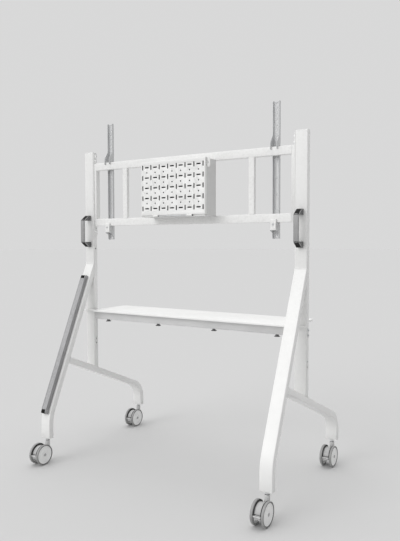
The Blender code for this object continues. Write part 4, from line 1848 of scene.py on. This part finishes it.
for corner, x, y in corners:
    ay = y + TRAIL
    axle_point = (x, ay, WHEEL_R)
    swivel = "swivel_" + corner
    stem_profile = smooth_profile(
        [
            (0, 94),
            (6.0, 94),
            (6.0, 150.0),
            (0, 152.0),
        ],
        [0, 0.6, 1.0, 0],
        3,
    )
    stem = turned(stem_profile, (x, y, 0), "Z", 36)
    piece(
        "caster_stem_turned_" + corner,
        stem,
        STEEL,
        nodes=["caster_stem_" + corner],
        origin=(x, y, 126),
    )
    boss = turned(
        smooth_profile(
            [
                (6.1, 114.3),
                (8.4, 114.3),
                (9.4, 115.2),
                (9.4, 122.4),
                (9.0, 122.7),
                (9.0, 123.2),
                (9.4, 123.5),
                (9.4, 125.8),
                (6.1, 125.8),
            ],
            [0, 0.3, 0.5, 0.2, 0.15, 0.15, 0.2, 0.4, 0],
            3,
        ),
        (x, y, 0),
        "Z",
        36,
    )
    piece(
        "caster_stem_boss_" + corner,
        boss,
        PLATED,
        origin=(x, y, 126),
    )
    hood = turned(crown, axle_point, "X", 96, 0.0)
    hood = carve(
        hood,
        [along_x([(y + u, z) for u, z in hood_side], x - 20, x + 20)],
        "INTERSECT",
    )
    hood = carve(
        hood,
        [along_x([(y + u, z) for u, z in saddle], x - 12.2, x + 12.2)],
        "UNION",
    )
    hood = carve(hood, [rod(11.9, 70, 125, (x, y, 0), "Z", 40)])
    lug = along_x(
        fillet(
            [(y + 59, 41.6), (y + 69, 41.2), (y + 72.8, 44.5), (y + 72.8, 50.6), (y + 59, 50.6)],
            [0, 3, 3, 2, 0],
            4,
        ),
        x - 5.8,
        x + 5.8,
    )
    piece(
        "caster_hood_" + corner,
        join([hood, lug]),
        GREY,
        body=swivel,
        nodes=["caster_body_" + corner],
        bevel=0.7,
        segments=3,
        angle=36,
        origin=(x, y, WHEEL_R),
    )
    collar = turned(
        smooth_profile(
            [
                (6.7, 64.0),
                (12.3, 64.0),
                (12.3, 105.6),
                (11.8, 106.1),
                (11.8, 107.0),
                (12.3, 107.5),
                (12.3, 111.9),
                (9.9, 111.9),
                (9.4, 110.8),
                (6.7, 110.8),
            ],
            [0, 0.5, 0.3, 0.3, 0.3, 0.3, 1.6, 0.4, 0.2, 0],
            4,
        ),
        (x, y, 0),
        "Z",
        44,
    )
    piece(
        "caster_collar_" + corner,
        collar,
        COLLAR,
        body=swivel,
        origin=(x, y, WHEEL_R),
    )
    # painted shade: a black ring on the collar's top stands in for the shadowed gap under the stem's boss
    shade_ring = turned(
        smooth_profile(
            [(6.5, 110.4), (9.4, 110.4), (9.4, 111.8), (6.5, 112.0)],
            [0, 0, 0.6, 0.2],
            3,
        ),
        (x, y, 0),
        "Z",
        36,
    )
    piece(
        "caster_painted_shade_ring_" + corner,
        shade_ring,
        BLACK_AND_SHADE,
        body=swivel,
        origin=(x, y, WHEEL_R),
    )
    axle = turned(
        smooth_profile(
            [
                (0, -30.7),
                (4.6, -30.7),
                (5.2, -31.2),
                (7.4, -31.2),
                (7.4, -29.9),
                (4.0, -29.9),
                (4.0, 29.9),
                (7.4, 29.9),
                (7.4, 31.2),
                (5.2, 31.2),
                (4.6, 30.7),
                (0, 30.7),
            ],
            [0, 0.2, 0.2, 0.5, 0.2, 0, 0, 0.2, 0.5, 0.2, 0.2, 0],
            3,
        ),
        axle_point,
        "X",
        40,
    )
    piece(
        "caster_axle_" + corner,
        axle,
        GREY,
        body=swivel,
        origin=axle_point,
    )
    for name, way in (("a", -1), ("b", 1)):
        wheel = "wheel_" + corner + "_" + name
        lo, hi = sorted((x + way * 15.8, x + way * 17.7))
        # a black flange beside each wheel, partly painted shade: it also stands in for the shadowed gap between hood
        # and wheel
        piece(
            "caster_liner_and_gap_shade_" + corner + "_" + name,
            along_x(sector(ay, WHEEL_R, 40.5, FLANGE_R, 7.5, 152.5, 52), lo, hi),
            BLACK_AND_SHADE,
            body=swivel,
            bevel=0.3,
            segments=2,
            origin=axle_point,
        )
        tyre = smooth_profile(
            [
                (43.4, 18.3),
                (52.0, 18.3),
                (52.0, 30.5),
                (49.0, 30.5),
                (48.4, 28.4),
                (43.4, 28.4),
            ],
            [0.3, 4.2, 2.4, 0.3, 0, 0],
            8,
        )
        piece(
            "caster_tyre_" + corner + "_" + name,
            turned([(r, way * t) for r, t in tyre], axle_point, "X", 96),
            TYRE,
            body=wheel,
            nodes=["caster_wheel_" + corner + "_" + name],
            origin=axle_point,
        )
        # painted shade: a dark ring on the tyre's side stands in for the shadowed groove between tyre and disc
        shade_band = smooth_profile(
            [(45.7, 27.0), (48.6, 27.0), (48.8, 30.3), (46.4, 30.3), (45.7, 29.0)],
            [0, 0, 0.5, 0.7, 0],
            3,
        )
        piece(
            "caster_painted_shade_band_" + corner + "_" + name,
            turned([(r, way * t) for r, t in shade_band], axle_point, "X", 96),
            SCOOP_AND_SHADE_BAND,
            body=wheel,
            origin=axle_point,
        )
        disc = smooth_profile(
            [
                (4.5, 20.6),
                (10.0, 20.6),
                (12.0, 23.6),
                (36.0, 23.6),
                (39.0, 20.6),
                (43.8, 20.6),
                (45.4, 28.5),
                (43.6, 29.2),
                (42.4, 28.7),
                (36.4, 28.8),
                (35.8, 28.2),
                (29.6, 28.2),
                (29.0, 28.9),
                (14.6, 29.2),
                (13.8, 28.4),
                (9.8, 28.4),
                (9.0, 29.6),
                (4.5, 29.6),
            ],
            [0, 0.5, 1.5, 1.5, 1.0, 0.3, 0.8, 0.4, 0.4, 0.3, 0.3, 0.3, 0.3, 0.4, 0.3, 0.3, 0.4, 0],
            3,
        )
        piece(
            "caster_disc_" + corner + "_" + name,
            turned([(r, way * t) for r, t in disc], axle_point, "X", 96),
            DISC,
            body=wheel,
            origin=axle_point,
        )
    # pedal: a pale tab to step on, above a paler arch that hangs between the wheels
    pedal = "pedal_" + corner
    pivot = (x, y + 69.0, 46.0)
    tab = along_x(
        fillet(
            [(y + 66.4, 51.2), (y + 97.2, 51.0), (y + 98.3, 53.0), (y + 96.8, 55.0), (y + 80, 55.9), (y + 66.4, 54.2)],
            [0.6, 0.8, 0.8, 1.2, 4.0, 0.8],
            4,
        ),
        x - 16.3,
        x + 16.3,
    )
    tab = soften(
        tab, lambda a, b: abs(a.z - b.z) > 0.3 and min(a.y, b.y) > y + 95, 2.2, 5
    )
    ribs = join(
        [
            along_x(
                [(y + u, 54.6), (y + u + 1.3, 54.6), (y + u + 1.1, 56.0), (y + u + 0.2, 56.0)],
                x - 12.0,
                x + 12.0,
            )
            for u in (83.0, 86.4, 89.8)
        ]
    )
    piece(
        "caster_pedal_tab_" + corner,
        join([tab, ribs]),
        PALE_AND_HIGHLIGHT,
        body=pedal,
        nodes=["caster_pedal_" + corner],
        bevel=0.4,
        segments=3,
        origin=pivot,
    )
    arch = along_x(
        [(y + u, z) for u, z in sector(TRAIL, WHEEL_R, 42.6, 45.8, -4, -25, 14)],
        x - 12.7,
        x + 12.7,
    )
    arch = carve(
        arch,
        [
            along_y(
                arc(x, 31.5, 10.0, 0, 180, 24) + [(x - 10.0, 20), (x + 10.0, 20)],
                y + 70,
                y + 110,
            )
        ],
    )
    piece(
        "caster_pedal_arch_" + corner,
        arch,
        PALE_AND_HIGHLIGHT,
        body=pedal,
        bevel=0.6,
        segments=3,
        origin=pivot,
    )
    webs = [
        along_x(
            [(y + 66.4, 40.4), (y + 72.0, 40.4), (y + 89.4, 44.0), (y + 91.4, 51.4), (y + 66.4, 51.4)],
            x + a,
            x + b,
        )
        for a, b in ((-12.6, -10.8), (10.8, 12.6))
    ]
    pin2 = rod(2.0, -12.2, 12.2, pivot, "X", 20)
    piece(
        "caster_pedal_webs_" + corner,
        join(webs + [pin2]),
        SCOOP_AND_SHADE_BAND,
        body=pedal,
        bevel=0.3,
        origin=pivot,
    )

# ------------------------------------------------------------ floor, light, camera
floor_mesh = bpy.data.meshes.new("floor")
work = bmesh.new()
bmesh.ops.create_circle(work, cap_ends=True, segments=96, radius=90.0)
work.to_mesh(floor_mesh)
work.free()
floor = bpy.data.objects.new("floor", floor_mesh)
bpy.context.scene.collection.objects.link(floor)
floor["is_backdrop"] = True
ground = bpy.data.materials.new("studio_floor")
ground.use_nodes = True
ground.node_tree.nodes["Principled BSDF"].inputs["Base Color"].default_value = (
    0.575,
    0.575,
    0.575,
    1.0,
)
ground.node_tree.nodes["Principled BSDF"].inputs["Roughness"].default_value = 1.0
ground.node_tree.nodes["Principled BSDF"].inputs["Specular IOR Level"].default_value = 0.0
floor_mesh.materials.append(ground)

# an even pale studio; its light is brighter overhead and dimmer from -X, away from
# the lamps, and the backdrop itself is one plain tone
sky = bpy.data.worlds.new("studio")
bpy.context.scene.world = sky
sky.use_nodes = True
studio = sky.node_tree
direction = node(studio, "ShaderNodeTexCoord").outputs["Generated"]
towards = node(studio, "ShaderNodeVectorMath", operation="DOT_PRODUCT")
towards.inputs[1].default_value = Vector((-0.90, 0.30, 0.10)).normalized()
studio.links.new(direction, towards.inputs[0])
around = span(studio, towards.outputs["Value"], -0.45, 0.70, 0.78, 0.32)
height = node(studio, "ShaderNodeSeparateXYZ")
studio.links.new(direction, height.inputs[0])
overhead = span(studio, height.outputs["Z"], 0.38, 1.0, 0.0, 1.0)
added = node(studio, "ShaderNodeMath", operation="ADD")
studio.links.new(around, added.inputs[0])
studio.links.new(overhead, added.inputs[1])
backdrop = node(studio, "ShaderNodeMix", data_type="FLOAT")
studio.links.new(node(studio, "ShaderNodeLightPath").outputs["Is Camera Ray"], backdrop.inputs[0])
studio.links.new(added.outputs[0], backdrop.inputs[2])
backdrop.inputs[3].default_value = 0.69
level = backdrop.outputs[0]
studio.nodes["Background"].inputs["Color"].default_value = (1.0, 1.0, 1.0, 1.0)
studio.links.new(level, studio.nodes["Background"].inputs["Strength"])


def soft_sun(name, direction, strength, spread):
    """A distant softbox shining from the given direction."""
    lamp = bpy.data.lights.new(name, "SUN")
    lamp.energy = strength
    lamp.angle = math.radians(spread)
    obj = bpy.data.objects.new(name, lamp)
    obj.rotation_mode = "QUATERNION"
    obj.rotation_quaternion = Vector(direction).to_track_quat("Z", "Y")
    bpy.context.scene.collection.objects.link(obj)
    return obj


soft_sun("key", (0.30, 0.84, 0.44), 0.92, 40)

camera_data = bpy.data.cameras.new("photo_view")
camera = bpy.data.objects.new("photo_view", camera_data)
bpy.context.scene.collection.objects.link(camera)
camera_data.sensor_fit = "AUTO"
camera_data.sensor_width = 36.0
camera_data.lens = 39.62
camera_data.clip_start = 0.05
camera_data.clip_end = 200.0
ahead = Vector((0.5336, -0.8444, -0.0483)).normalized()
right = ahead.cross(Vector((0, 0, 1))).normalized()
up = right.cross(ahead)
roll = math.radians(-0.11)
across = right * math.cos(roll) + up * math.sin(roll)
upward = up * math.cos(roll) - right * math.sin(roll)
camera.matrix_world = Matrix(
    (
        (across.x, upward.x, -ahead.x, -1.6825),
        (across.y, upward.y, -ahead.y, 2.5107),
        (across.z, upward.z, -ahead.z, 1.1468),
        (0, 0, 0, 1),
    )
)
bpy.context.scene.camera = camera
bpy.context.scene.view_settings.view_transform = "Standard"

# ------------------------------------------------------------ size
bpy.context.view_layer.update()
low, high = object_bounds()
